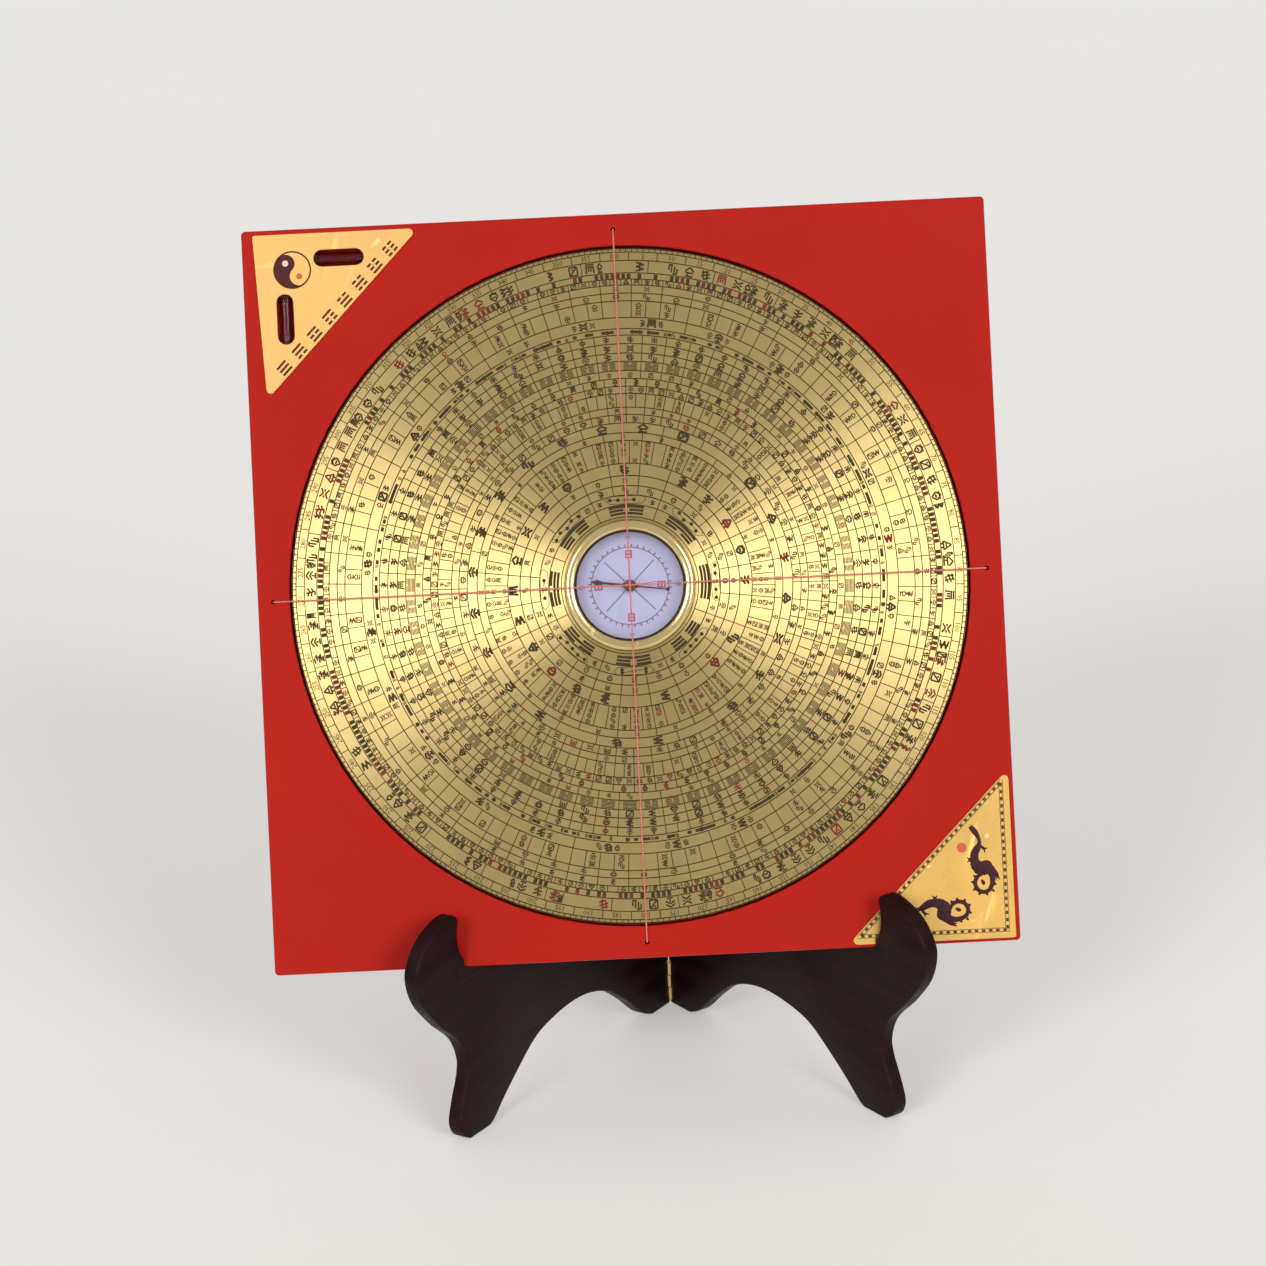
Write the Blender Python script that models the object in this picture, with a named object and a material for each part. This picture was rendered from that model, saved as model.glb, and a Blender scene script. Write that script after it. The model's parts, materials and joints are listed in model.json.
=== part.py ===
# A feng shui compass (luopan) standing on a folding wooden stand, in metres.
# The compass is a square lacquered board with a turning dial and a needle under glass at its centre.
# The stand is two wooden wings, hinged at the back, that open into a V.
#
# Frames used below:
# - on the board, x runs right, y runs up the board and z comes out of its face, from the middle of the face
# - on a wing, x is the reach from the hinge line, y is the depth from the inner face and z is the height

import math

import bmesh
import bpy
from mathutils import Vector

# The whole
lean = math.radians(20)
seat_gap = 0.0003
cut_overrun = 0.002

# Board
board_side = 0.286
board_thick = 0.0165
board_corner_radius = 0.0012
board_edge_round = 0.0008
well_clearance = 0.0008
well_chamfer = 0.0004

# Dial
dial_rim_margin = 0.013
dial_face_drop = 0.0020
dial_face_thick = 0.0008
dial_face_chamfer = 0.0002
dial_disc_thick = 0.0080
dial_disc_chamfer = 0.0005
dial_facets = 96

# Compass capsule
bezel_radius = 0.02535
bezel_opening = 0.0214
bezel_lip_drop = 0.0009
bezel_lip_round = 0.00065
bezel_wall = 0.0010
bezel_skirt_length = 0.0025
glass_radius = 0.0229
glass_thick = 0.0014
gasket_inset = 0.0006
gasket_thick = 0.0006
cup_wall = 0.0010
cup_floor = 0.0009
disc_floor = 0.0012
card_thick = 0.0004
capsule_facets = 48
bezel_arc_steps = 4
lip_arc_steps = 3

# Needle and its pin
pin_radius = 0.0007
pin_rise = 0.0023
pin_taper_length = 0.0020
pin_taper_share = 0.6  # of pin_radius, at the mouth of the cap's hollow
pin_foot_depth = 0.0003
needle_half_length = 0.0155
needle_half_width = 0.0008
needle_thick = 0.0004
needle_eye_radius = 0.0015
needle_boss_radius = 0.0024
needle_turn = math.radians(-8)
needle_point_shares = [(-1.0, 0.0), (-0.82, 1.3), (-0.68, 0.55)]  # of its half length and half width
boss_reach_share = 1.3  # of needle_boss_radius, where the straight blade begins
blade_width_share = 0.55  # of needle_half_width, on the pointed side
tail_width_shares = (0.4, 0.3)  # of needle_half_width, at the boss and at the tail's disc
boss_arc_steps = 8
tail_arc_steps = 4
cap_radius = 0.0022
cap_stem_radius = 0.0012
cap_stem_length = 0.0010
cap_flange_thick = 0.0005
cap_dome_rise = 0.0004
cap_dome_shares = (0.6, 0.8)  # of cap_radius and cap_dome_rise, half way up the dome
cap_hollow_radius = 0.0008
cap_hollow_depth = 0.00115
small_facets = 12

# Threads
thread_inset = 0.006
thread_radius = 0.00035
thread_hole_radius = 0.0009
knot_radius = 0.0015
knot_length = 0.0013
knot_pocket_radius = 0.0026
knot_pocket_depth = 0.0022
thread_bend_shares = [(2.0, 1.0), (0.7, 1.0), (0.1, 0.5)]  # of the hole's radius and of the thread's rise
knot_shares = [(0.0, 0.5), (0.3, 1.0), (0.7, 1.0), (1.0, 0.5)]  # of knot_length and knot_radius
thread_arc_steps = 2

# Corner plates
plate_thick = 0.0006
plate_corner_radius = 0.0016
level_plate_side_margin = 0.0044
level_plate_top_margin = 0.0020
level_plate_across = 0.0640
level_plate_down = 0.0632
level_plate_skew = 0.0030
dragon_plate_margin = 0.0018
dragon_plate_foot_margin = 0.0012
dragon_plate_leg = 0.0645

# Spirit levels, measured from the level plate's outer corner
window_length = 0.0195
window_width = 0.0066
across_window_right = 0.0328
across_window_down = 0.0098
upright_window_right = 0.0114
upright_window_down = 0.0327
vial_radius = 0.0029
vial_wall = 0.0008
vial_length = 0.0186
vial_plug_flange = 0.0008
vial_plug_stem = 0.0015
vial_sink = 0.0004
bubble_half_length = 0.0024
bubble_radius = 0.0011
bubble_facets = 12
bubble_rings = 8
window_arc_steps = 8

# Stand
half_spread = math.radians(34)
wing_thick = 0.0065
wing_edge_round = 0.0010
stand_shift = 0.0085
ledge_height = 0.071
board_front_reach = 0.115
hook_reach = 0.032
hook_rise = 0.0235
hook_clearance = 0.0015
foot_reach = 0.146
arch_rise = 0.0285
spine_rise = 0.137
curve_steps = 3

# Hinges and their screws
hinge_height = 0.016
lower_hinge_height = 0.0025
upper_hinge_height = 0.096
leaf_thick = 0.0009
leaf_width = 0.0038
knuckle_radius = 0.0015
knuckle_bore = 0.00095
knuckles_per_hinge = 3
hinge_pin_radius = 0.00065
hinge_pin_head_radius = 0.0013
hinge_pin_head_thick = 0.0004
screw_spacing = 0.0092
screw_head_radius = 0.00125
screw_sink = 0.0001
screw_head_depth = 0.0006
screw_radius = 0.00065
screw_length = 0.0074
screw_tip_length = 0.0010
hinge_facets = 16

# Outline of a wing, as (reach, height) shares of the two lengths named beside each table
arch_shares = [  # of foot_reach and arch_rise, from the back foot to the front one
    (0.089, 0.0), (0.137, 0.12), (0.212, 0.46), (0.295, 0.77), (0.384, 0.947), (0.479, 1.0),
    (0.582, 0.947), (0.664, 0.825), (0.753, 0.526), (0.822, 0.26), (0.868, 0.06), (0.892, 0.0),
]
leg_shares = [  # of foot_reach and ledge_height, up the front of the leg
    (0.980, 0.0), (1.010, 0.042), (1.022, 0.12), (1.003, 0.24), (0.976, 0.366),
    (0.972, 0.465), (1.002, 0.60), (1.080, 0.754), (1.146, 0.92),
]
hook_shares = [  # of hook_reach and hook_rise, from the front of the ledge
    (1.0, 0.22), (0.93, 0.53), (0.72, 0.81), (0.42, 0.97), (0.20, 0.99),
    (0.12, 0.88), (0.15, 0.66), (0.14, 0.42), (0.06, 0.20), (-0.10, 0.05), (-0.30, 0.04),
]
spine_shares = [  # of the spine's reach at its top and of spine_rise, over the top and down the back
    (1.14, 0.966), (1.01, 1.0), (0.87, 0.978), (0.77, 0.912), (0.66, 0.818), (0.52, 0.737),
    (0.31, 0.664), (0.12, 0.591),
]
spine_shoulder_share = 0.91  # of spine_rise, where the straight front edge ends
back_edge_share = 0.50  # of spine_rise, where the straight back edge ends
spine_stock = 0.008  # wood that the board's slot takes off the front of the spine

# Sizes and places that follow from those above
half_board = board_side / 2
dial_radius = half_board - dial_rim_margin
disc_top = -dial_face_drop - dial_face_thick - seat_gap
disc_bottom = disc_top - dial_disc_thick
well_depth = seat_gap - disc_bottom
bezel_bottom = seat_gap - dial_face_drop
bezel_bore = glass_radius + seat_gap
skirt_radius = bezel_bore + bezel_wall
skirt_bottom = bezel_bottom - bezel_skirt_length
gasket_top = -bezel_lip_drop - seat_gap
glass_top = gasket_top - gasket_thick - seat_gap
glass_bottom = glass_top - glass_thick
cup_rim = glass_bottom - seat_gap
recess_floor = disc_bottom + disc_floor
cup_bottom = recess_floor + seat_gap
card_bottom = cup_bottom + cup_floor + seat_gap
card_top = card_bottom + card_thick
pin_foot = cup_bottom + cup_floor - pin_foot_depth
pin_tip = card_top + pin_rise
cap_apex = pin_tip + seat_gap
cap_stem_bottom = cap_apex - cap_hollow_depth
cap_flange_bottom = cap_stem_bottom + cap_stem_length
needle_top = cap_flange_bottom - seat_gap
thread_rise = seat_gap + thread_radius
plate_bottom = seat_gap
notch_reach = board_front_reach / math.cos(half_spread)
slot_back_reach = board_front_reach - (board_thick + seat_gap) / math.cos(lean)
wing_back = seat_gap / 2
wing_inner = seat_gap / 2
leaf_inner = knuckle_radius + seat_gap
screw_row = leaf_inner + leaf_width / 2


# Materials

def paint(name, red, green, blue, roughness, metallic=0.0):
    material = bpy.data.materials.new(name)
    material.use_nodes = True
    shader = material.node_tree.nodes["Principled BSDF"]
    shader.inputs["Base Color"].default_value = (red, green, blue, 1.0)
    shader.inputs["Roughness"].default_value = roughness
    shader.inputs["Metallic"].default_value = metallic
    material.diffuse_color = (red, green, blue, 1.0)
    return material


def red_lacquer():
    return paint("red lacquer", 0.58, 0.022, 0.014, 0.22)


def dial_brass():
    return paint("dial brass", 0.62, 0.50, 0.22, 0.30, 1.0)


def polished_brass():
    return paint("polished brass", 0.80, 0.66, 0.32, 0.18, 1.0)


def gold_plate():
    return paint("gold plate", 0.90, 0.62, 0.24, 0.25, 1.0)


def dark_rosewood():
    return paint("dark rosewood", 0.030, 0.012, 0.012, 0.38)


def plain_wood():
    return paint("turned wood", 0.34, 0.19, 0.09, 0.55)


def red_thread():
    return paint("red thread", 0.80, 0.12, 0.12, 0.60)


def black_rubber():
    return paint("black rubber", 0.015, 0.010, 0.008, 0.55)


def clear_glass():
    return paint("clear glass", 0.92, 0.95, 0.98, 0.03)


def white_card():
    return paint("white card", 0.72, 0.74, 0.90, 0.60)


def blued_steel():
    return paint("blued steel", 0.05, 0.03, 0.04, 0.30, 1.0)


def wine_liquid():
    return paint("wine red liquid", 0.12, 0.008, 0.016, 0.08)


# Placing and cutting

def frame(name, parent=None, place=(0, 0, 0), turn=(0, 0, 0)):
    empty = bpy.data.objects.new(name, None)
    bpy.context.scene.collection.objects.link(empty)
    empty.parent = parent
    empty.location = place
    empty.rotation_euler = turn
    return empty


def piece(name, mesh, material, parent, place=(0, 0, 0), turn=(0, 0, 0)):
    shape = bpy.data.objects.new(name, mesh)
    bpy.context.scene.collection.objects.link(shape)
    shape.parent = parent
    shape.location = place
    shape.rotation_euler = turn
    if material is not None:
        mesh.materials.clear()
        mesh.materials.append(material)
    return shape


def tool(name, mesh, parent, place=(0, 0, 0), turn=(0, 0, 0)):
    helper = piece(name, mesh, None, parent, place, turn)
    helper.hide_render = True
    helper.display_type = "WIRE"
    return helper


def cut(target, helper):
    modifier = target.modifiers.new(helper.name, "BOOLEAN")
    modifier.operation = "DIFFERENCE"
    modifier.object = helper
    modifier.solver = "EXACT"


def round_edges(target, width, limit="ANGLE"):
    modifier = target.modifiers.new("rounded edges", "BEVEL")
    modifier.width = width
    modifier.segments = 2
    modifier.limit_method = limit
    modifier.angle_limit = math.radians(40)


# Meshes

def finish_mesh(name, shape, smooth_angle=math.radians(35)):
    bmesh.ops.recalc_face_normals(shape, faces=shape.faces)
    mesh = bpy.data.meshes.new(name)
    shape.to_mesh(mesh)
    shape.free()
    mesh.shade_smooth()
    mesh.set_sharp_from_angle(angle=smooth_angle)
    return mesh


def add_turned(shape, profile, facets, closed):
    """Turns (radius, height) points round Z. An open profile starts and ends on the axis."""
    rings = []
    for radius, height in profile:
        if radius == 0:
            rings.append([shape.verts.new((0, 0, height))])
            continue
        ring = []
        for index in range(facets):
            angle = math.tau * index / facets
            ring.append(shape.verts.new((radius * math.cos(angle), radius * math.sin(angle), height)))
        rings.append(ring)
    pairs = list(zip(rings, rings[1:]))
    if closed:
        pairs.append((rings[-1], rings[0]))
    for first, second in pairs:
        for index in range(facets):
            following = (index + 1) % facets
            corners = [first[index % len(first)], first[following % len(first)]]
            corners += [second[following % len(second)], second[index % len(second)]]
            shape.faces.new(list(dict.fromkeys(corners)))


def turned(name, profile, facets, closed=False):
    shape = bmesh.new()
    add_turned(shape, profile, facets, closed)
    return finish_mesh(name, shape)


def add_prism(shape, outline, low, high):
    """Fills an (x, y) outline and carries it from height low to height high."""
    bottom = [shape.verts.new((x, y, low)) for x, y in outline]
    top = [shape.verts.new((x, y, high)) for x, y in outline]
    shape.faces.new(bottom)
    shape.faces.new(top)
    for index in range(len(outline)):
        following = (index + 1) % len(outline)
        shape.faces.new([bottom[index], bottom[following], top[following], top[index]])


def prism(name, outline, low, high):
    shape = bmesh.new()
    add_prism(shape, outline, low, high)
    return finish_mesh(name, shape)


def box(width, depth):
    corners = [(-1, -1), (1, -1), (1, 1), (-1, 1)]
    return [(x * width / 2, y * depth / 2) for x, y in corners]


def rounded(corners, radii, steps=4):
    """The polygon with each corner turned into an arc of its own radius."""
    outline = []
    for index, corner in enumerate(corners):
        here = Vector(corner)
        before = (Vector(corners[index - 1]) - here).normalized()
        after = (Vector(corners[(index + 1) % len(corners)]) - here).normalized()
        half_angle = before.angle(after) / 2
        centre = here + (before + after).normalized() * (radii[index] / math.sin(half_angle))
        start = here + before * (radii[index] / math.tan(half_angle)) - centre
        sweep = start.angle_signed(here + after * (radii[index] / math.tan(half_angle)) - centre)
        for step in range(steps + 1):
            angle = -sweep * step / steps
            outline.append(tuple(centre + Vector((
                start.x * math.cos(angle) - start.y * math.sin(angle),
                start.x * math.sin(angle) + start.y * math.cos(angle),
            ))))
    return outline


def smooth_line(points, steps):
    """Points of a smooth curve through the given ones, without the last."""
    line = []
    for index in range(len(points) - 1):
        first = Vector(points[max(index - 1, 0)])
        start = Vector(points[index])
        end = Vector(points[index + 1])
        last = Vector(points[min(index + 2, len(points) - 1)])
        for step in range(steps):
            share = step / steps
            line.append(tuple(
                start
                + (end - first) * (share / 2)
                + (first * 2 - start * 5 + end * 4 - last) * (share ** 2 / 2)
                + (start * 3 - first - end * 3 + last) * (share ** 3 / 2)
            ))
    return line


def along(reach, rise, shares, from_reach=0.0, from_rise=0.0):
    return [(from_reach + reach * x, from_rise + rise * z) for x, z in shares]


# Board

def make_board(parent):
    corner = board_corner_radius
    square = rounded(box(board_side, board_side), [corner] * 4, steps=2)
    board = piece("base_board", prism("base_board", square, -board_thick, 0), red_lacquer(), parent)
    round_edges(board, board_edge_round)

    well_radius = dial_radius + well_clearance
    well = [
        (0, -well_depth),
        (well_radius, -well_depth),
        (well_radius, -well_chamfer),
        (well_radius + well_chamfer + cut_overrun, cut_overrun),
        (0, cut_overrun),
    ]
    cut(board, tool("well_cutter", turned("well_cutter", well, dial_facets), parent))

    pocket_floor = -vial_sink - 2 * vial_radius - seat_gap
    pocket = box(vial_length + 2 * seat_gap, 2 * (vial_radius + seat_gap))
    for name, place, turn in level_places():
        mesh = prism("pocket_cutter", pocket, pocket_floor, cut_overrun)
        cut(board, tool(name + "_pocket_cutter", mesh, parent, place, (0, 0, turn)))

    knot_floor = knot_pocket_depth - board_thick
    hole = [
        (0, -board_thick - cut_overrun),
        (knot_pocket_radius, -board_thick - cut_overrun),
        (knot_pocket_radius, knot_floor),
        (thread_hole_radius, knot_floor),
        (thread_hole_radius, cut_overrun),
        (0, cut_overrun),
    ]
    cutter_mesh = turned("thread_hole_cutter", hole, small_facets)
    for index, (x, y) in enumerate(thread_holes()):
        cut(board, tool(f"thread_hole_cutter_{index}", cutter_mesh, parent, (x, y, 0)))


def thread_holes():
    reach = half_board - thread_inset
    return [(0, reach), (reach, 0), (0, -reach), (-reach, 0)]


# Threads, each knotted behind the board at both ends

def thread_side(middle_rise):
    """(distance from the middle, height, radius) from the middle of the thread to its knot."""
    hole = half_board - thread_inset
    knot_top = knot_pocket_depth - board_thick - seat_gap
    side = [(0, middle_rise, thread_radius)]
    for inward, rise in thread_bend_shares:
        side.append((hole - thread_hole_radius * inward, thread_rise * rise, thread_radius))
    side.append((hole, -thread_hole_radius, thread_radius))
    side.append((hole, knot_top + thread_radius, thread_radius))
    for down, width in knot_shares:
        side.append((hole, knot_top - knot_length * down, knot_radius * width))
    return side


def make_thread(name, parent, middle_rise, turn):
    side = thread_side(middle_rise)
    route = [(-reach, rise, radius) for reach, rise, radius in reversed(side)] + side[1:]
    curve = bpy.data.curves.new(name, "CURVE")
    curve.dimensions = "3D"
    # A depth of one, so that each point's own radius is the thread's
    curve.bevel_depth = 1.0
    curve.bevel_resolution = thread_arc_steps
    curve.use_fill_caps = True
    spline = curve.splines.new("POLY")
    spline.points.add(len(route) - 1)
    for point, (reach, rise, radius) in zip(spline.points, route):
        point.co = (reach, 0, rise, 1)
        point.radius = radius
    piece(name, curve, red_thread(), parent, turn=(0, 0, turn))


def make_threads(parent):
    upper_rise = thread_rise + 2 * thread_radius + seat_gap
    make_thread("thread_vertical", parent, thread_rise, math.radians(90))
    make_thread("thread_horizontal", parent, upper_rise, 0)


# Corner plates and spirit levels

def level_plate_corner():
    return -half_board + level_plate_side_margin, half_board - level_plate_top_margin


def level_places():
    """Name, place on the board and turn of each spirit level."""
    x, y = level_plate_corner()
    return [
        ("level_across", (x + across_window_right, y - across_window_down, 0), 0),
        ("level_upright", (x + upright_window_right, y - upright_window_down, 0), math.radians(90)),
    ]


def window_outline():
    half_straight = (window_length - window_width) / 2
    outline = []
    for side in (1, -1):
        for step in range(window_arc_steps + 1):
            angle = math.pi * step / window_arc_steps - math.pi / 2
            outline.append((
                side * (half_straight + window_width / 2 * math.cos(angle)),
                side * window_width / 2 * math.sin(angle),
            ))
    return outline


def make_corner_plates(parent):
    radius = plate_corner_radius
    x, y = level_plate_corner()
    corners = [(x, y), (x + level_plate_skew, y - level_plate_down), (x + level_plate_across, y)]
    outline = rounded(corners, [radius / 2, radius, radius])
    mesh = prism("corner_plate_level", outline, plate_bottom, plate_bottom + plate_thick)
    plate = piece("corner_plate_level", mesh, gold_plate(), parent)
    window = prism("window_cutter", window_outline(), -cut_overrun, cut_overrun)
    for name, place, turn in level_places():
        cut(plate, tool(name + "_window_cutter", window, parent, place, (0, 0, turn)))

    right = half_board - dragon_plate_margin
    foot = dragon_plate_foot_margin - half_board
    corners = [(right, foot), (right, foot + dragon_plate_leg), (right - dragon_plate_leg, foot)]
    outline = rounded(corners, [radius / 2, radius, radius])
    mesh = prism("corner_plate_dragon", outline, plate_bottom, plate_bottom + plate_thick)
    piece("corner_plate_dragon", mesh, gold_plate(), parent)


def make_levels(parent):
    bore = vial_radius - vial_wall
    fill_radius = bore - seat_gap
    tube_half = vial_length / 2 - vial_plug_flange - seat_gap
    stem_end = tube_half - vial_plug_stem
    fill_half = stem_end - seat_gap
    tube = [(bore, -tube_half), (vial_radius, -tube_half), (vial_radius, tube_half), (bore, tube_half)]
    fill = [(0, -fill_half), (fill_radius, -fill_half), (fill_radius, fill_half), (0, fill_half)]
    flange = tube_half + seat_gap
    plug = [
        (0, stem_end),
        (fill_radius, stem_end),
        (fill_radius, flange),
        (vial_radius, flange),
        (vial_radius, vial_length / 2),
        (0, vial_length / 2),
    ]
    for name, place, turn in level_places():
        depth = -vial_sink - vial_radius
        vial = frame(name + "_place", parent, (place[0], place[1], depth), (0, 0, turn))
        lying = (0, math.radians(90), 0)
        turned_over = (0, math.radians(-90), 0)
        tube_mesh = turned(name + "_tube", tube, small_facets, closed=True)
        piece(name + "_tube", tube_mesh, clear_glass(), vial, turn=lying)
        fill_mesh = turned(name + "_liquid", fill, small_facets)
        liquid = piece(name + "_liquid", fill_mesh, wine_liquid(), vial, turn=lying)
        cut(liquid, tool(name + "_bubble_cutter", bubble_mesh(), vial, (0, 0, fill_radius)))
        for end, facing in (("far", lying), ("near", turned_over)):
            plug_mesh = turned(f"{name}_plug_{end}", plug, small_facets)
            piece(f"{name}_plug_{end}", plug_mesh, black_rubber(), vial, turn=facing)


def bubble_mesh():
    shape = bmesh.new()
    bmesh.ops.create_uvsphere(shape, u_segments=bubble_facets, v_segments=bubble_rings, radius=bubble_radius)
    for vert in shape.verts:
        vert.co.x *= bubble_half_length / bubble_radius
    return finish_mesh("bubble_cutter", shape)


# Dial and compass capsule, turned round the dial's axis

def make_dial(parent):
    chamfer = dial_disc_chamfer
    opening = skirt_radius + seat_gap
    disc = [
        (0, disc_bottom),
        (dial_radius - chamfer, disc_bottom),
        (dial_radius, disc_bottom + chamfer),
        (dial_radius, disc_top - chamfer),
        (dial_radius - chamfer, disc_top),
        (opening, disc_top),
        (opening, skirt_bottom - seat_gap),
        (glass_radius + seat_gap, skirt_bottom - seat_gap),
        (glass_radius + seat_gap, recess_floor),
        (0, recess_floor),
    ]
    piece("dial_disc", turned("dial_disc", disc, dial_facets), plain_wood(), parent)

    top = -dial_face_drop
    bottom = top - dial_face_thick
    face = [
        (opening, bottom),
        (dial_radius, bottom),
        (dial_radius, top - dial_face_chamfer),
        (dial_radius - dial_face_chamfer, top),
        (opening, top),
    ]
    mesh = turned("dial_face", face, dial_facets, closed=True)
    piece("dial_face", mesh, dial_brass(), parent)


def bezel_profile():
    """A half-round ring with a lip over the glass and a skirt down into the disc."""
    crown = (bezel_radius + bezel_opening) / 2
    half_width = (bezel_radius - bezel_opening) / 2
    points = []
    for step in range(bezel_arc_steps + 1):
        angle = math.radians(90) * step / bezel_arc_steps
        points.append((crown + half_width * math.cos(angle), bezel_bottom * (1 - math.sin(angle))))
    for step in range(1, lip_arc_steps + 1):
        angle = math.radians(90) * step / lip_arc_steps
        rise = -bezel_lip_round * (1 - math.cos(angle))
        points.append((crown - half_width * math.sin(angle), rise))
    points += [
        (bezel_opening, -bezel_lip_drop),
        (bezel_bore, -bezel_lip_drop),
        (bezel_bore, skirt_bottom),
        (skirt_radius, skirt_bottom),
        (skirt_radius, bezel_bottom),
    ]
    return points


def make_capsule(parent):
    bezel = turned("bezel_ring", bezel_profile(), capsule_facets, closed=True)
    piece("bezel_ring", bezel, polished_brass(), parent)

    inner = bezel_opening - gasket_inset
    gasket = [
        (inner, gasket_top - gasket_thick),
        (glass_radius, gasket_top - gasket_thick),
        (glass_radius, gasket_top),
        (inner, gasket_top),
    ]
    mesh = turned("glass_gasket", gasket, capsule_facets, closed=True)
    piece("glass_gasket", mesh, black_rubber(), parent)

    glass = [(0, glass_bottom), (glass_radius, glass_bottom), (glass_radius, glass_top), (0, glass_top)]
    piece("glass_lens", turned("glass_lens", glass, capsule_facets), clear_glass(), parent)

    socket = pin_radius + seat_gap
    inside = cup_bottom + cup_floor
    cup = [
        (0, cup_bottom),
        (glass_radius, cup_bottom),
        (glass_radius, cup_rim),
        (glass_radius - cup_wall, cup_rim),
        (glass_radius - cup_wall, inside),
        (socket, inside),
        (socket, pin_foot - seat_gap),
        (0, pin_foot - seat_gap),
    ]
    piece("capsule_cup", turned("capsule_cup", cup, capsule_facets), polished_brass(), parent)

    card_radius = glass_radius - cup_wall - seat_gap
    card = [(socket, card_bottom), (card_radius, card_bottom), (card_radius, card_top), (socket, card_top)]
    mesh = turned("compass_card", card, capsule_facets, closed=True)
    piece("compass_card", mesh, white_card(), parent)

    pin = [
        (0, pin_foot),
        (pin_radius, pin_foot),
        (pin_radius, pin_tip - pin_taper_length),
        (pin_radius * pin_taper_share, pin_tip - cap_hollow_depth),
        (0, pin_tip),
    ]
    piece("pivot_pin", turned("pivot_pin", pin, small_facets), blued_steel(), parent)


def needle_outline():
    """A slender blade, pointed to the left, with a small ring-like disc near its right end."""
    tail_disc = needle_half_width
    tail_centre = needle_half_length - tail_disc
    boss_reach = needle_boss_radius * boss_reach_share
    boss_width, tail_width = [needle_half_width * share for share in tail_width_shares]
    half = along(needle_half_length, needle_half_width, needle_point_shares)
    half.append((-boss_reach, needle_half_width * blade_width_share))
    for step in range(1, boss_arc_steps):
        angle = math.pi * (1 - step / boss_arc_steps)
        half.append((needle_boss_radius * math.cos(angle), needle_boss_radius * math.sin(angle)))
    half.append((boss_reach, boss_width))
    half.append((tail_centre - tail_disc, tail_width))
    for step in range(1, tail_arc_steps):
        angle = math.pi * (1 - step / tail_arc_steps)
        half.append((tail_centre + tail_disc * math.cos(angle), tail_disc * math.sin(angle)))
    half.append((needle_half_length, 0))
    return half + [(x, -y) for x, y in reversed(half[1:-1])]


def make_needle(parent):
    mesh = prism("needle", needle_outline(), needle_top - needle_thick, needle_top)
    needle = piece("needle", mesh, blued_steel(), parent)
    reach = needle_thick + cut_overrun
    eye = [
        (0, needle_top - reach),
        (needle_eye_radius, needle_top - reach),
        (needle_eye_radius, needle_top + cut_overrun),
        (0, needle_top + cut_overrun),
    ]
    cut(needle, tool("needle_eye_cutter", turned("needle_eye_cutter", eye, small_facets), parent))

    cap_top = cap_flange_bottom + cap_flange_thick
    cap = [
        (0, cap_apex),
        (cap_hollow_radius, cap_stem_bottom),
        (cap_stem_radius, cap_stem_bottom),
        (cap_stem_radius, cap_flange_bottom),
        (cap_radius, cap_flange_bottom),
        (cap_radius, cap_top),
        (cap_radius * cap_dome_shares[0], cap_top + cap_dome_rise * cap_dome_shares[1]),
        (0, cap_top + cap_dome_rise),
    ]
    piece("needle_cap", turned("needle_cap", cap, small_facets), polished_brass(), parent)


# Stand

def slot_reach(height):
    """How far from the hinge line a wing's inner face meets the back of the board, at this height."""
    return (slot_back_reach - (height - ledge_height) * math.tan(lean)) / math.cos(half_spread)


def wing_outline():
    """(reach, height) round a wing, before the board's slot is cut across it."""
    spine_top = ledge_height + spine_rise
    shoulder = ledge_height + spine_rise * spine_shoulder_share
    back_top = ledge_height + spine_rise * back_edge_share
    slot_mouth = ledge_height + hook_rise * hook_shares[-1][1]
    arch = along(foot_reach, arch_rise, arch_shares)
    front = along(foot_reach, ledge_height, leg_shares)
    front += along(hook_reach, hook_rise, hook_shares, notch_reach, ledge_height)
    back = [(slot_reach(shoulder) + spine_stock, shoulder)]
    back += along(slot_reach(spine_top), spine_rise, spine_shares, 0.0, ledge_height)
    back.append((wing_back, back_top))
    outline = [(wing_back, 0.0)]
    outline += smooth_line(arch, curve_steps)
    outline.append(arch[-1])
    outline += smooth_line(front, curve_steps)
    outline.append(front[-1])
    outline.append((slot_reach(slot_mouth) + spine_stock, slot_mouth))
    outline += smooth_line(back, curve_steps)
    outline.append(back[-1])
    return outline


def hinge_levels():
    return [("lower", lower_hinge_height), ("upper", upper_hinge_height)]


def screw_heights(hinge_bottom):
    middle = hinge_bottom + hinge_height / 2
    return [middle - screw_spacing / 2, middle + screw_spacing / 2]


def knuckle_recess():
    radius = knuckle_radius + seat_gap
    overrun = hinge_pin_head_thick + 2 * seat_gap
    return [(0, -overrun), (radius, -overrun), (radius, hinge_height + overrun), (0, hinge_height + overrun)]


def mortise_outline(side):
    """The bed of a leaf in the wing's back edge, open to the inner face."""
    floor = leaf_thick + seat_gap
    outer = side * (leaf_inner + leaf_width + seat_gap)
    inner = -side * cut_overrun
    return [(-cut_overrun, inner), (floor, inner), (floor, outer), (-cut_overrun, outer)]


def screw_hole():
    radius = screw_radius + seat_gap
    depth = screw_length + seat_gap
    return [(0, leaf_thick / 2), (radius, leaf_thick / 2), (radius, depth), (0, depth)]


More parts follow.
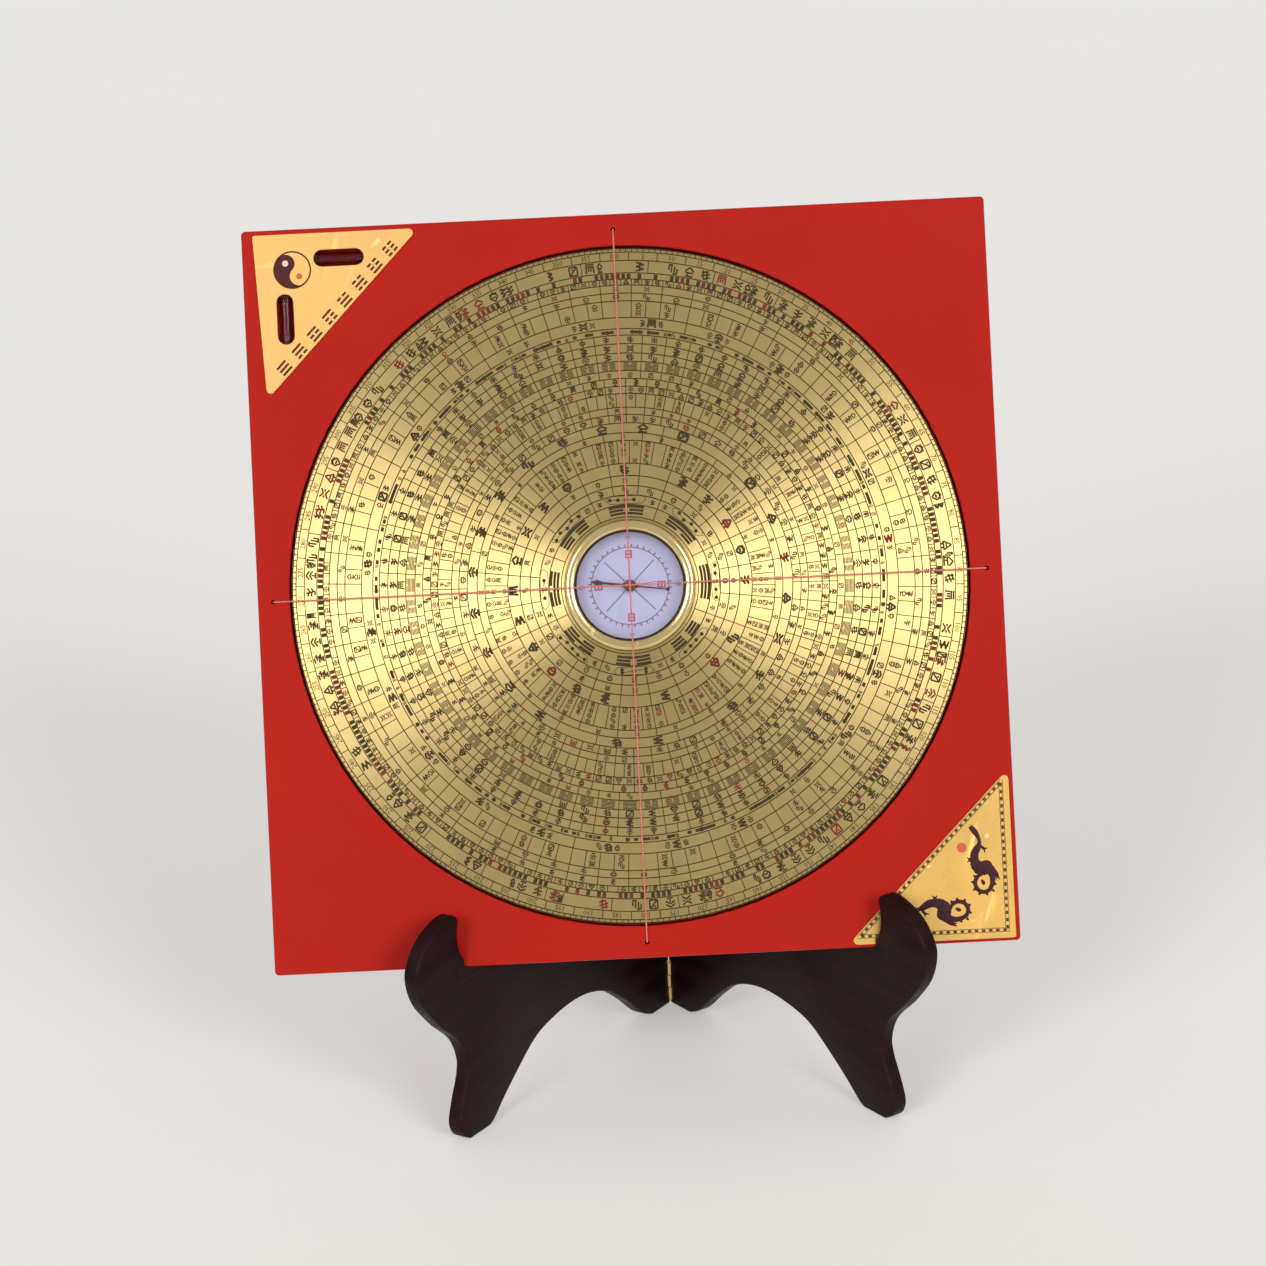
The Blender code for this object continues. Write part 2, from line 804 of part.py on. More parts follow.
def wing_mesh(side):
    """The outline carried through the wing's thickness. Its rims are rounded, but not at the back."""
    shape = bmesh.new()
    add_prism(shape, wing_outline(), side * wing_inner, side * (wing_inner + wing_thick))
    weight = shape.edges.layers.float.new("bevel_weight_edge")
    for edge in shape.edges:
        start, end = (vert.co for vert in edge.verts)
        at_back = max(start.x, end.x) < 2 * wing_back
        edge[weight] = 1.0 if start.z == end.z and not at_back else 0.0
    for vert in shape.verts:
        vert.co = Vector((vert.co.x, vert.co.z, vert.co.y))
    return finish_mesh("stand_wing", shape)


def make_wing(name, parent, side, slot):
    wing = piece(name, wing_mesh(side), dark_rosewood(), parent)
    round_edges(wing, wing_edge_round, limit="WEIGHT")
    cut(wing, slot)
    mortise_mesh = prism("mortise_cutter", mortise_outline(side), -seat_gap, hinge_height + seat_gap)
    recess_mesh = turned("knuckle_recess_cutter", knuckle_recess(), hinge_facets)
    hole_mesh = turned("screw_hole_cutter", screw_hole(), small_facets)
    for level, bottom in hinge_levels():
        cut(wing, tool(f"{name}_{level}_mortise_cutter", mortise_mesh, parent, (0, 0, bottom)))
        cut(wing, tool(f"{name}_{level}_recess_cutter", recess_mesh, parent, (0, 0, bottom)))
        for index, height in enumerate(screw_heights(bottom)):
            place = (0, side * screw_row, height)
            into_wood = (0, math.radians(90), 0)
            cutter_name = f"{name}_{level}_hole_cutter_{index}"
            cut(wing, tool(cutter_name, hole_mesh, parent, place, into_wood))
    return wing


def slot_cutter(parent):
    """The space of the board where it stands, open straight up in front, for cutting both wings."""
    foot = -half_board - seat_gap
    back = -board_thick - seat_gap
    lift = board_side
    outline = [
        (foot, back),
        (foot, hook_clearance),
        (foot + lift * math.cos(lean), hook_clearance + lift * math.sin(lean)),
        (foot + lift * math.cos(lean), back),
    ]
    shape = bmesh.new()
    add_prism(shape, outline, -half_board - cut_overrun, half_board + cut_overrun)
    for vert in shape.verts:
        vert.co = Vector((vert.co.z, vert.co.x, vert.co.y))
    return tool("board_slot_cutter", finish_mesh("board_slot_cutter", shape), parent)


# Hinges

def knuckle_spans():
    """Bottom and top of each knuckle of a hinge."""
    height = (hinge_height - seat_gap * (knuckles_per_hinge - 1)) / knuckles_per_hinge
    starts = [index * (height + seat_gap) for index in range(knuckles_per_hinge)]
    return [(start, start + height) for start in starts]


def leaf_outline(side):
    """A leaf seen along its pin: the plate, and a round knuckle at its edge."""
    meeting = math.asin(leaf_thick / knuckle_radius)
    outer = leaf_inner + leaf_width
    outline = [(0, outer), (leaf_thick, outer)]
    sweep = math.tau - meeting
    arc_steps = hinge_facets - 2
    for step in range(arc_steps + 1):
        angle = meeting + sweep * step / arc_steps
        outline.append((knuckle_radius * math.sin(angle), knuckle_radius * math.cos(angle)))
    return [(reach, side * depth) for reach, depth in outline]


def add_notches(spans):
    """The room for the other leaf's knuckles."""
    shape = bmesh.new()
    wide = 2 * leaf_inner
    for low, high in spans:
        add_prism(shape, box(wide, wide), low - seat_gap, high + seat_gap)
    return finish_mesh("notches", shape)


def sink_profile():
    """A countersunk hole through a leaf, with clearance round the screw."""
    wide = screw_head_radius + seat_gap
    narrow = screw_radius + seat_gap
    slope = (wide - narrow) / screw_head_depth
    return [
        (0, -screw_head_depth),
        (wide + slope * screw_head_depth, -screw_head_depth),
        (narrow, screw_head_depth),
        (narrow, 2 * leaf_thick),
        (0, 2 * leaf_thick),
    ]


def make_leaf(name, parent, side, bottom, other_spans):
    mesh = prism(name, leaf_outline(side), 0, hinge_height)
    leaf = piece(name, mesh, polished_brass(), parent, (0, 0, bottom))
    cut(leaf, tool(name + "_notch_cutter", add_notches(other_spans), parent, (0, 0, bottom)))
    bore = [
        (0, -cut_overrun),
        (knuckle_bore, -cut_overrun),
        (knuckle_bore, hinge_height + cut_overrun),
        (0, hinge_height + cut_overrun),
    ]
    bore_mesh = turned("knuckle_bore_cutter", bore, hinge_facets)
    cut(leaf, tool(name + "_bore_cutter", bore_mesh, parent, (0, 0, bottom)))
    sink_mesh = turned("countersink_cutter", sink_profile(), small_facets)
    for index, height in enumerate(screw_heights(bottom)):
        place = (0, side * screw_row, height)
        into_wood = (0, math.radians(90), 0)
        cut(leaf, tool(f"{name}_sink_cutter_{index}", sink_mesh, parent, place, into_wood))


def make_screws(name, parent, side, bottom):
    head_end = screw_sink + screw_head_depth
    screw = [
        (0, screw_sink),
        (screw_head_radius, screw_sink),
        (screw_radius, head_end),
        (screw_radius, screw_length - screw_tip_length),
        (0, screw_length),
    ]
    mesh = turned("hinge_screw", screw, small_facets)
    for label, height in zip(("low", "high"), screw_heights(bottom)):
        place = (0, side * screw_row, height)
        piece(f"{name}_{label}", mesh, polished_brass(), parent, place, (0, math.radians(90), 0))


def make_hinge_pin(name, parent, bottom):
    head = hinge_pin_head_radius
    low = -seat_gap - hinge_pin_head_thick
    high = hinge_height - low
    pin = [
        (0, low),
        (head, low),
        (head, -seat_gap),
        (hinge_pin_radius, -seat_gap),
        (hinge_pin_radius, hinge_height + seat_gap),
        (head, hinge_height + seat_gap),
        (head, high),
        (0, high),
    ]
    piece(name, turned(name, pin, hinge_facets), polished_brass(), parent, (0, 0, bottom))


def make_stand(parent, slot):
    line = frame("hinge_line", parent, (stand_shift, 0, 0))
    left = frame("left_wing_axis", line, turn=(0, 0, -math.radians(90) - half_spread))
    right = frame("right_wing_axis", line, turn=(0, 0, half_spread - math.radians(90)))
    spans = knuckle_spans()
    for name, axis, side, other_spans in (("left", left, -1, spans[1::2]), ("right", right, 1, spans[0::2])):
        make_wing(f"stand_{name}", axis, side, slot)
        for level, bottom in hinge_levels():
            make_leaf(f"{level}_hinge_leaf_{name}", axis, side, bottom, other_spans)
            make_screws(f"{level}_hinge_screw_{name}", axis, side, bottom)
    for level, bottom in hinge_levels():
        make_hinge_pin(f"{level}_hinge_pin", line, bottom)


def centre_on_origin(root):
    """Moves the whole so that its box stands centred over the origin, with its feet at height zero."""
    bpy.context.view_layer.update()
    graph = bpy.context.evaluated_depsgraph_get()
    corners = []
    for shape in bpy.context.scene.objects:
        if shape.type == "EMPTY" or shape.hide_render:
            continue
        ready = shape.evaluated_get(graph)
        mesh = ready.to_mesh()
        corners += [ready.matrix_world @ vert.co for vert in mesh.vertices]
        ready.to_mesh_clear()
    lows = [min(corner[axis] for corner in corners) for axis in range(3)]
    highs = [max(corner[axis] for corner in corners) for axis in range(3)]
    root.location = (-(lows[0] + highs[0]) / 2, -(lows[1] + highs[1]) / 2, -lows[2])
    bpy.context.view_layer.update()


def main():
    for old in list(bpy.data.objects):
        bpy.data.objects.remove(old)
    root = frame("compass_and_stand")
    up = Vector((0, math.sin(lean), math.cos(lean)))
    foot_edge = Vector((0, -board_front_reach, ledge_height))
    board = frame("board_face", root, foot_edge + up * half_board, (math.radians(90) - lean, 0, 0))
    dial = frame("dial_axis", board)
    needle = frame("needle_axis", dial, turn=(0, 0, needle_turn))
    make_board(board)
    make_threads(board)
    make_corner_plates(board)
    make_levels(board)
    make_dial(dial)
    make_capsule(dial)
    make_needle(needle)
    make_stand(root, slot_cutter(board))
    centre_on_origin(root)


main()
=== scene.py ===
import json
import math

import bmesh
import bpy
from mathutils import Matrix, Vector

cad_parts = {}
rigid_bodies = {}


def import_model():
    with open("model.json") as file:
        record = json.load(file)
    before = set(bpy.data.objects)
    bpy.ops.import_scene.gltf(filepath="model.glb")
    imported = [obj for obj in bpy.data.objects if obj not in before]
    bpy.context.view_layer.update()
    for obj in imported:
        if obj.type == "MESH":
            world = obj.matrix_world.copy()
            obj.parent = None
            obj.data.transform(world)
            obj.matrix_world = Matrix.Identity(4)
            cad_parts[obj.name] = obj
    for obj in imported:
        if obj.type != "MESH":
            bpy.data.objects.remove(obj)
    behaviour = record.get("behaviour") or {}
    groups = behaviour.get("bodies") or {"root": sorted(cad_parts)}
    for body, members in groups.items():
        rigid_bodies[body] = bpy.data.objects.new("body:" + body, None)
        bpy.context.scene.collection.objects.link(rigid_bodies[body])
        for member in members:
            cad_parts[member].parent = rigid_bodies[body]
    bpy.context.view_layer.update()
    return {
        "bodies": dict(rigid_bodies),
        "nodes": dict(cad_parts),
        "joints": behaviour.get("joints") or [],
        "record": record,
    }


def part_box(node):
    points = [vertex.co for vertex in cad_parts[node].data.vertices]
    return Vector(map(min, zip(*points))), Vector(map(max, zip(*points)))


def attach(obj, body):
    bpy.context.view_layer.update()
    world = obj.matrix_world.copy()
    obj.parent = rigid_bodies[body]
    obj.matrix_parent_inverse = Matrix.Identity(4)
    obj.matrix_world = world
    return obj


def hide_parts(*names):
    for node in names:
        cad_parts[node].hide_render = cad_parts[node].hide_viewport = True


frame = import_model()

scene = bpy.context.scene
quarter = math.pi / 2


# where things are: the board's face, the hinge line and the two wings

compass = {"lean": 20, "side": 0.286, "thick": 0.0165, "faceDrop": 0.0020}
stand = {"spread": 34, "wingThick": 0.0065, "wingGap": 0.00015}


def middleOf(node):
    low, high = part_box(node)
    return (low + high) / 2


def boardFrame():
    turn = Matrix.Rotation(math.radians(90 - compass["lean"]), 4, "X")
    face = middleOf("base_board") + turn.to_3x3() @ Vector((0, 0, compass["thick"] / 2))
    return Matrix.Translation(face) @ turn


def wingFrame(side):
    line = middleOf("lower_hinge_pin")
    turn = math.radians(side * stand["spread"] - 90)  # x runs along the wing, away from the hinge
    return Matrix.Translation((line.x, line.y, 0)) @ Matrix.Rotation(turn, 4, "Z")


onBoard = boardFrame()
onDial = onBoard @ Matrix.Translation((0, 0, -compass["faceDrop"]))


# node trees

def addNode(tree, kind, values=None, **settings):
    made = tree.nodes.new(kind)
    for key, value in settings.items():
        setattr(made, key, value)
    for key, value in (values or {}).items():
        if isinstance(value, bpy.types.NodeSocket):
            tree.links.new(value, made.inputs[key])
        else:
            made.inputs[key].default_value = value
    return made


def startTree(name, kind, inputs, outputs):
    # an input that is a word names its kind of socket, and one that is a number gives the socket's own value
    tree = bpy.data.node_groups.new(name, kind)
    sockets = {}
    for label, value in inputs.items():
        word = value if isinstance(value, str) else type(value).__name__.capitalize()
        socket = tree.interface.new_socket(name=label, in_out="INPUT", socket_type="NodeSocket" + word)
        if word != value:
            socket.default_value = value
        sockets[label] = socket.identifier
    for label, word in outputs.items():
        tree.interface.new_socket(name=label, in_out="OUTPUT", socket_type="NodeSocket" + word)
    return tree, tree.nodes.new("NodeGroupInput").outputs, tree.nodes.new("NodeGroupOutput"), sockets


def maths(tree, operation, first, second=0.0, third=0.0):
    return addNode(tree, "ShaderNodeMath", {0: first, 1: second, 2: third}, operation=operation).outputs[0]


def times(tree, first, second):
    return maths(tree, "MULTIPLY", first, second)


def plus(tree, first, second):
    return maths(tree, "ADD", first, second)


def minus(tree, first, second):
    return maths(tree, "SUBTRACT", first, second)


def shared(tree, first, second):
    return maths(tree, "DIVIDE", first, second)


def vectors(tree, operation, *values, output=0):
    return addNode(tree, "ShaderNodeVectorMath", dict(enumerate(values)), operation=operation).outputs[output]


def combined(tree, x=0.0, y=0.0, z=0.0):
    return addNode(tree, "ShaderNodeCombineXYZ", {"X": x, "Y": y, "Z": z}).outputs[0]


def stretched(tree, vector, scale):
    return addNode(tree, "ShaderNodeMapping", {"Vector": vector, "Scale": scale}).outputs[0]


def noise(tree, vector, scale, detail):
    values = {"Vector": vector, "Scale": scale, "Detail": detail}
    return addNode(tree, "ShaderNodeTexNoise", values).outputs["Fac"]


def ramp(tree, value, low, high, toLow=0.0, toHigh=1.0):
    values = {"Value": value, "From Min": low, "From Max": high, "To Min": toLow, "To Max": toHigh}
    return addNode(tree, "ShaderNodeMapRange", values).outputs["Result"]


def mixColours(tree, share, first, second):
    first, second = [(*colour, 1) if isinstance(colour, tuple) else colour for colour in (first, second)]
    return addNode(tree, "ShaderNodeMix", {0: share, 6: first, 7: second}, data_type="RGBA").outputs[2]


# effects that several materials share

def buildMottle():
    tree, given, sink, _ = startTree("cloudyMottle", "ShaderNodeTree", {
        "Vector": "Vector", "Scale": 60.0, "Low": 0.0, "High": 1.0,
    }, {"Value": "Float"})
    clouds = noise(tree, given["Vector"], given["Scale"], 4.0)
    tree.links.new(ramp(tree, clouds, 0.3, 0.7, given["Low"], given["High"]), sink.inputs["Value"])
    return tree


def buildScratches():
    tree, given, sink, _ = startTree("fineScratches", "ShaderNodeTree", {
        "Vector": "Vector", "Scale": 400.0, "Turn": 0.6,
    }, {"Mask": "Float"})
    masks = []
    for turn in (0.0, 1.9):
        swung = addNode(tree, "ShaderNodeVectorRotate", {
            "Vector": given["Vector"], "Axis": (0.3, 0.8, 0.5), "Angle": plus(tree, given["Turn"], turn),
        })
        pulled = stretched(tree, swung.outputs[0], (1.0, 0.02, 1.0))
        masks.append(ramp(tree, noise(tree, pulled, given["Scale"], 2.0), 0.66, 0.72))
    tree.links.new(maths(tree, "MAXIMUM", *masks), sink.inputs["Mask"])
    return tree


def buildRubbedEdges():
    tree, given, sink, _ = startTree("rubbedEdges", "ShaderNodeTree", {
        "Vector": "Vector", "Radius": 0.001, "Break up": 150.0,
    }, {"Mask": "Float"})
    rounded = addNode(tree, "ShaderNodeBevel", {"Radius": given["Radius"]}, samples=4).outputs["Normal"]
    flat = tree.nodes.new("ShaderNodeNewGeometry").outputs["Normal"]
    edge = ramp(tree, vectors(tree, "DOT_PRODUCT", rounded, flat, output="Value"), 0.995, 0.80)
    broken = ramp(tree, noise(tree, given["Vector"], given["Break up"], 3.0), 0.40, 0.62)
    tree.links.new(times(tree, edge, broken), sink.inputs["Mask"])
    return tree


def buildWoodFigure():
    tree, given, sink, _ = startTree("woodFigure", "ShaderNodeTree", {
        "Vector": "Vector", "Bands": 90.0, "Wander": 3.0, "Pore Scale": 900.0,
    }, {"Figure": "Float", "Pores": "Float"})
    drawn = stretched(tree, given["Vector"], (0.12, 1.0, 1.0))
    bands = addNode(tree, "ShaderNodeTexWave", {
        "Vector": drawn, "Scale": given["Bands"], "Distortion": given["Wander"], "Detail": 3.0,
        "Detail Scale": 1.2,
    }, wave_type="BANDS", bands_direction="Z").outputs["Fac"]
    streaks = times(tree, noise(tree, drawn, 260.0, 5.0), 0.4)
    tree.links.new(maths(tree, "MULTIPLY_ADD", bands, 0.6, streaks), sink.inputs["Figure"])
    dots = noise(tree, stretched(tree, given["Vector"], (0.05, 1.0, 1.0)), given["Pore Scale"], 1.0)
    tree.links.new(ramp(tree, dots, 0.60, 0.68), sink.inputs["Pores"])
    return tree


mottle, scratches = buildMottle(), buildScratches()
rubbedEdges, woodFigure = buildRubbedEdges(), buildWoodFigure()


def effect(tree, group, values):
    return addNode(tree, "ShaderNodeGroup", values, node_tree=group).outputs


def mottled(tree, place, scale, low=0.0, high=1.0):
    return effect(tree, mottle, {"Vector": place, "Scale": scale, "Low": low, "High": high})[0]


# materials

principled = (
    ("Roughness", "roughness", 0.4), ("Metallic", "metallic", 0.0), ("IOR", "ior", 1.5),
    ("Specular IOR Level", "specular", 0.5), ("Coat Weight", "coat", 0.0),
    ("Coat Roughness", "coatRoughness", 0.05), ("Transmission Weight", "clear", 0.0),
)


def startMaterial(name, look, turned=None):
    material = bpy.data.materials.new(name)
    material.use_nodes = True
    tree = material.node_tree
    shader = tree.nodes["Principled BSDF"]
    shader.inputs["Base Color"].default_value = (*look["colour"], 1)
    for label, key, usual in principled:
        shader.inputs[label].default_value = look.get(key, usual)
    place = tree.nodes.new("ShaderNodeTexCoord").outputs["Object"]
    if turned is not None:
        spot, spin, _ = turned.decompose()
        values = {"Vector": place, "Location": spot, "Rotation": spin.to_euler()}
        place = addNode(tree, "ShaderNodeMapping", values, vector_type="TEXTURE").outputs[0]
    return material, tree, shader.inputs, place


def bumpFrom(tree, taken, height, depth):
    made = addNode(tree, "ShaderNodeBump", {"Height": height, "Distance": depth, "Strength": 1.0})
    tree.links.new(made.outputs["Normal"], taken["Normal"])


def wornEdges(tree, place, colour, look):
    values = {"Vector": place, "Radius": look["edge"], "Break up": look["breakUp"]}
    worn = effect(tree, rubbedEdges, values)[0]
    return mixColours(tree, times(tree, worn, look["worn"]), colour, look["rubbed"])


def lacquerLook():
    look = {
        "colour": (0.52, 0.014, 0.006), "deep": (0.38, 0.009, 0.004), "rubbed": (0.62, 0.07, 0.045),
        "coat": 0.06, "coatRoughness": 0.12, "ior": 1.38, "specular": 0.2, "cloud": 9.0, "cloudy": 0.30,
        "edge": 0.0008, "breakUp": 90.0, "worn": 0.45, "haze": (40.0, 0.30, 0.34), "peel": 420.0,
        "peelDepth": 0.00001,
    }
    material, tree, taken, place = startMaterial("redLacquer", look, onBoard)
    share = times(tree, mottled(tree, place, look["cloud"]), look["cloudy"])
    colour = wornEdges(tree, place, mixColours(tree, share, look["colour"], look["deep"]), look)
    tree.links.new(colour, taken["Base Color"])
    tree.links.new(mottled(tree, place, *look["haze"]), taken["Roughness"])
    bumpFrom(tree, taken, noise(tree, place, look["peel"], 2.0), look["peelDepth"])
    return material


def rosewoodLook(name, turned):
    look = {
        "colour": (0.027, 0.0086, 0.0108), "dark": (0.011, 0.0036, 0.0045), "rubbed": (0.080, 0.030, 0.030),
        "pore": (0.006, 0.003, 0.003), "porous": 0.6, "specular": 0.09, "bands": 26.0, "wander": 9.0,
        "edge": 0.0012, "breakUp": 70.0, "worn": 0.5, "sheen": (0.38, 0.48), "poreDepth": 0.00003,
    }
    material, tree, taken, place = startMaterial(name, look, turned)
    wood = effect(tree, woodFigure, {"Vector": place, "Bands": look["bands"], "Wander": look["wander"]})
    colour = mixColours(tree, wood["Figure"], look["dark"], look["colour"])
    colour = mixColours(tree, times(tree, wood["Pores"], look["porous"]), colour, look["pore"])
    tree.links.new(wornEdges(tree, place, colour, look), taken["Base Color"])
    tree.links.new(ramp(tree, wood["Figure"], 0.2, 0.8, *look["sheen"]), taken["Roughness"])
    bumpFrom(tree, taken, minus(tree, 1.0, wood["Pores"]), look["poreDepth"])
    return material


def turnedWoodLook():
    look = {"colour": (0.36, 0.20, 0.10), "dark": (0.20, 0.10, 0.045), "roughness": 0.6, "depth": 0.00005,
            "bands": 30.0, "wander": 6.0}
    material, tree, taken, place = startMaterial("turnedWood", look, onBoard)
    values = {"Vector": place, "Bands": look["bands"], "Wander": look["wander"]}
    figure = effect(tree, woodFigure, values)["Figure"]
    tree.links.new(mixColours(tree, figure, look["dark"], look["colour"]), taken["Base Color"])
    bumpFrom(tree, taken, figure, look["depth"])
    return material


def dialBrassLook():
    look = {
        "colour": (0.66, 0.50, 0.21), "dull": (0.48, 0.34, 0.13), "metallic": 1.0, "cloud": 14.0,
        "cloudy": 0.35, "speck": 160.0, "speckled": 0.20, "haze": (70.0, 0.36, 0.42), "grain": 0.97,
        "groove": 9000.0, "grooveDepth": 0.000004,
    }
    material, tree, taken, place = startMaterial("dialBrass", look, onBoard)
    specks = times(tree, mottled(tree, place, look["speck"]), look["speckled"])
    share = maths(tree, "MULTIPLY_ADD", mottled(tree, place, look["cloud"]), look["cloudy"], specks)
    tree.links.new(mixColours(tree, share, look["colour"], look["dull"]), taken["Base Color"])
    # lines of turning run round the dial's middle, and spread the light outwards across them
    spread = vectors(tree, "NORMALIZE", vectors(tree, "MULTIPLY", place, (1, 1, 0)))
    upright = addNode(tree, "ShaderNodeMapping", {
        "Vector": spread, "Rotation": onBoard.to_euler(),
    }, vector_type="VECTOR").outputs[0]
    outwards = addNode(tree, "ShaderNodeVectorTransform", {"Vector": upright},
                       vector_type="VECTOR", convert_from="OBJECT", convert_to="WORLD")
    tree.links.new(outwards.outputs[0], taken["Tangent"])
    taken["Anisotropic"].default_value = look["grain"]
    tree.links.new(mottled(tree, place, *look["haze"]), taken["Roughness"])
    reach = times(tree, vectors(tree, "LENGTH", place, output="Value"), look["groove"])
    bumpFrom(tree, taken, maths(tree, "SINE", reach), look["grooveDepth"])
    return material


def metalLook(name, colour, dull, cloud, scratch, roughness):
    material, tree, taken, place = startMaterial(name, {"colour": colour, "metallic": 1.0}, onBoard)
    clouds = mottled(tree, place, cloud)
    tree.links.new(mixColours(tree, clouds, colour, dull), taken["Base Color"])
    lines = effect(tree, scratches, {"Vector": place, "Scale": scratch})[0]
    rough = maths(tree, "MULTIPLY_ADD", lines, metalWear["scratchHaze"], roughness)
    rough = maths(tree, "MULTIPLY_ADD", clouds, metalWear["cloudHaze"], rough)
    tree.links.new(rough, taken["Roughness"])
    bumpFrom(tree, taken, lines, metalWear["scratchDepth"])
    return material


def paintLook(name, colour, faded, roughness, more):
    look = {"colour": colour, "roughness": roughness, "cloud": 300.0, "patchy": 0.5, "grit": 1500.0,
            "depth": 0.00001, **more}
    material, tree, taken, place = startMaterial(name, look, onBoard)
    share = times(tree, mottled(tree, place, look["cloud"]), look["patchy"])
    tree.links.new(mixColours(tree, share, colour, faded), taken["Base Color"])
    bumpFrom(tree, taken, noise(tree, place, look["grit"], 2.0), look["depth"])
    return material


def glassLook(name, colour, smear, more):
    look = {"colour": colour, "clear": 1.0, "ior": 1.45, "smears": 60.0, **more}
    material, tree, taken, place = startMaterial(name, look, onBoard)
    tree.links.new(mottled(tree, place, look["smears"], 0.0, smear), taken["Roughness"])
    return material


# mesh making

def meshFrom(name, shape, turned=None, smooth=35):
    bmesh.ops.remove_doubles(shape, verts=shape.verts, dist=1e-7)
    bmesh.ops.recalc_face_normals(shape, faces=shape.faces)
    if turned is not None:
        shape.transform(turned)
    mesh = bpy.data.meshes.new(name)
    shape.to_mesh(mesh)
    shape.free()
    mesh.shade_smooth()
    mesh.set_sharp_from_angle(angle=math.radians(smooth))
    return mesh


def linked(name, data):
    made = bpy.data.objects.new(name, data)
    scene.collection.objects.link(made)
    return made


def paint(mesh, look):
    mesh.materials.clear()
    mesh.materials.append(looks[look])


def paintNode(name, look):
    paint(frame["nodes"][name].data, look)


def showPiece(name, mesh, look, body, standsFor=()):
    piece = linked(name, mesh)
    paint(mesh, look)
    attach(piece, body)
    if standsFor:
        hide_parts(*standsFor)


def showShape(name, shape, look, body, turned=onBoard, smooth=35):
    showPiece(name, meshFrom(name, shape, turned, smooth), look, body)


def around(count, shift=0.0):
    return [math.tau * (index + shift) / count for index in range(count)]


def polar(radius, turn):
    return radius * math.cos(turn), radius * math.sin(turn)


def rectangle(x, y):
    return [(-x, -y), (x, -y), (x, y), (-x, y)]


def rod(radius, low, high):
    return [(0, low), (radius, low), (radius, high), (0, high)]


def across(run, width):
    return Vector((-run.y, run.x)).normalized() * width / 2


def bridge(shape, first, second):
    count = max(len(first), len(second))
    for index in range(count):
        after = (index + 1) % count
        corners = [first[index % len(first)], first[after % len(first)],
                   second[after % len(second)], second[index % len(second)]]
        shape.faces.new(list(dict.fromkeys(corners)))


def loft(shape, rings):
    shape.faces.new(rings[0])
    shape.faces.new(rings[-1])
    for first, second in zip(rings, rings[1:]):
        bridge(shape, first, second)


def turnedMesh(name, profile, facets, closed=False, turned=None, smooth=35):
    shape = bmesh.new()
    rings = []
    for radius, height in profile:
        spots = [polar(radius, turn) for turn in around(facets)] if radius else [(0, 0)]
        rings.append([shape.verts.new((x, y, height)) for x, y in spots])
    for first, second in zip(rings, rings[1:] + rings[:1] * closed):
        bridge(shape, first, second)
    return meshFrom(name, shape, turned, smooth)


def addPrism(shape, outline, low, high):
    loft(shape, [[shape.verts.new((x, y, height)) for x, y in outline] for height in (low, high)])


def addBar(shape, start, end, width, low, high):
    a, b = Vector(start[:2]), Vector(end[:2])
    side = across(b - a, width)
    addPrism(shape, [a - side, b - side, b + side, a + side], low, high)


def addArc(shape, inner, outer, fromTurn, toTurn, steps, low, high):
    turns = [fromTurn + (toTurn - fromTurn) * step / steps for step in range(steps + 1)]
    outline = [polar(outer, turn) for turn in turns] + [polar(inner, turn) for turn in reversed(turns)]
    addPrism(shape, outline, low, high)


def addDot(shape, x, y, radius, low, high, sides=8):
    outline = [polar(radius, turn) for turn in around(sides, 0.5)]
    addPrism(shape, [(x + right, y + up) for right, up in outline], low, high)


def addRibbon(shape, points, widths, low, high, crown):
    rows = []
    for index, here in enumerate(points):
        side = across(points[min(index + 1, len(points) - 1)] - points[max(index - 1, 0)], widths[index])
        left, right = here + side, here - side
        section = ((left, low), (left, high), (here, high + crown), (right, high), (right, low))
        rows.append([shape.verts.new((*spot, height)) for spot, height in section])
    loft(shape, rows)


def smoothLine(points, steps):
    line = []
    for index in range(len(points) - 1):
        first = Vector(points[max(index - 1, 0)])
        start, end = Vector(points[index]), Vector(points[index + 1])
        last = Vector(points[min(index + 2, len(points) - 1)])
        for step in range(steps):
            t = step / steps
            line.append(
                start + (end - first) * (t / 2) + (first * 2 - start * 5 + end * 4 - last) * (t * t / 2)
                + (start * 3 - first - end * 3 + last) * (t ** 3 / 2)
            )
    return line + [Vector(points[-1])]


def finished(solid, *helpers):
    scene.view_layers[0].update()
    graph = bpy.context.evaluated_depsgraph_get()
    mesh = bpy.data.meshes.new_from_object(solid.evaluated_get(graph))
    for helper in (solid, *helpers):
        bpy.data.objects.remove(helper)
    return mesh


def shapeOf(mesh):
    shape = bmesh.new()
    shape.from_mesh(mesh)
    return shape


def cutFrom(target, mesh, turned=None):
    helper = linked("cutter", mesh)
    if turned is not None:
        helper.matrix_world = turned
    cut = target.modifiers.new("cut", "BOOLEAN")
    cut.operation, cut.solver, cut.object = "DIFFERENCE", "EXACT", helper
    return helper


# the stand's two wings

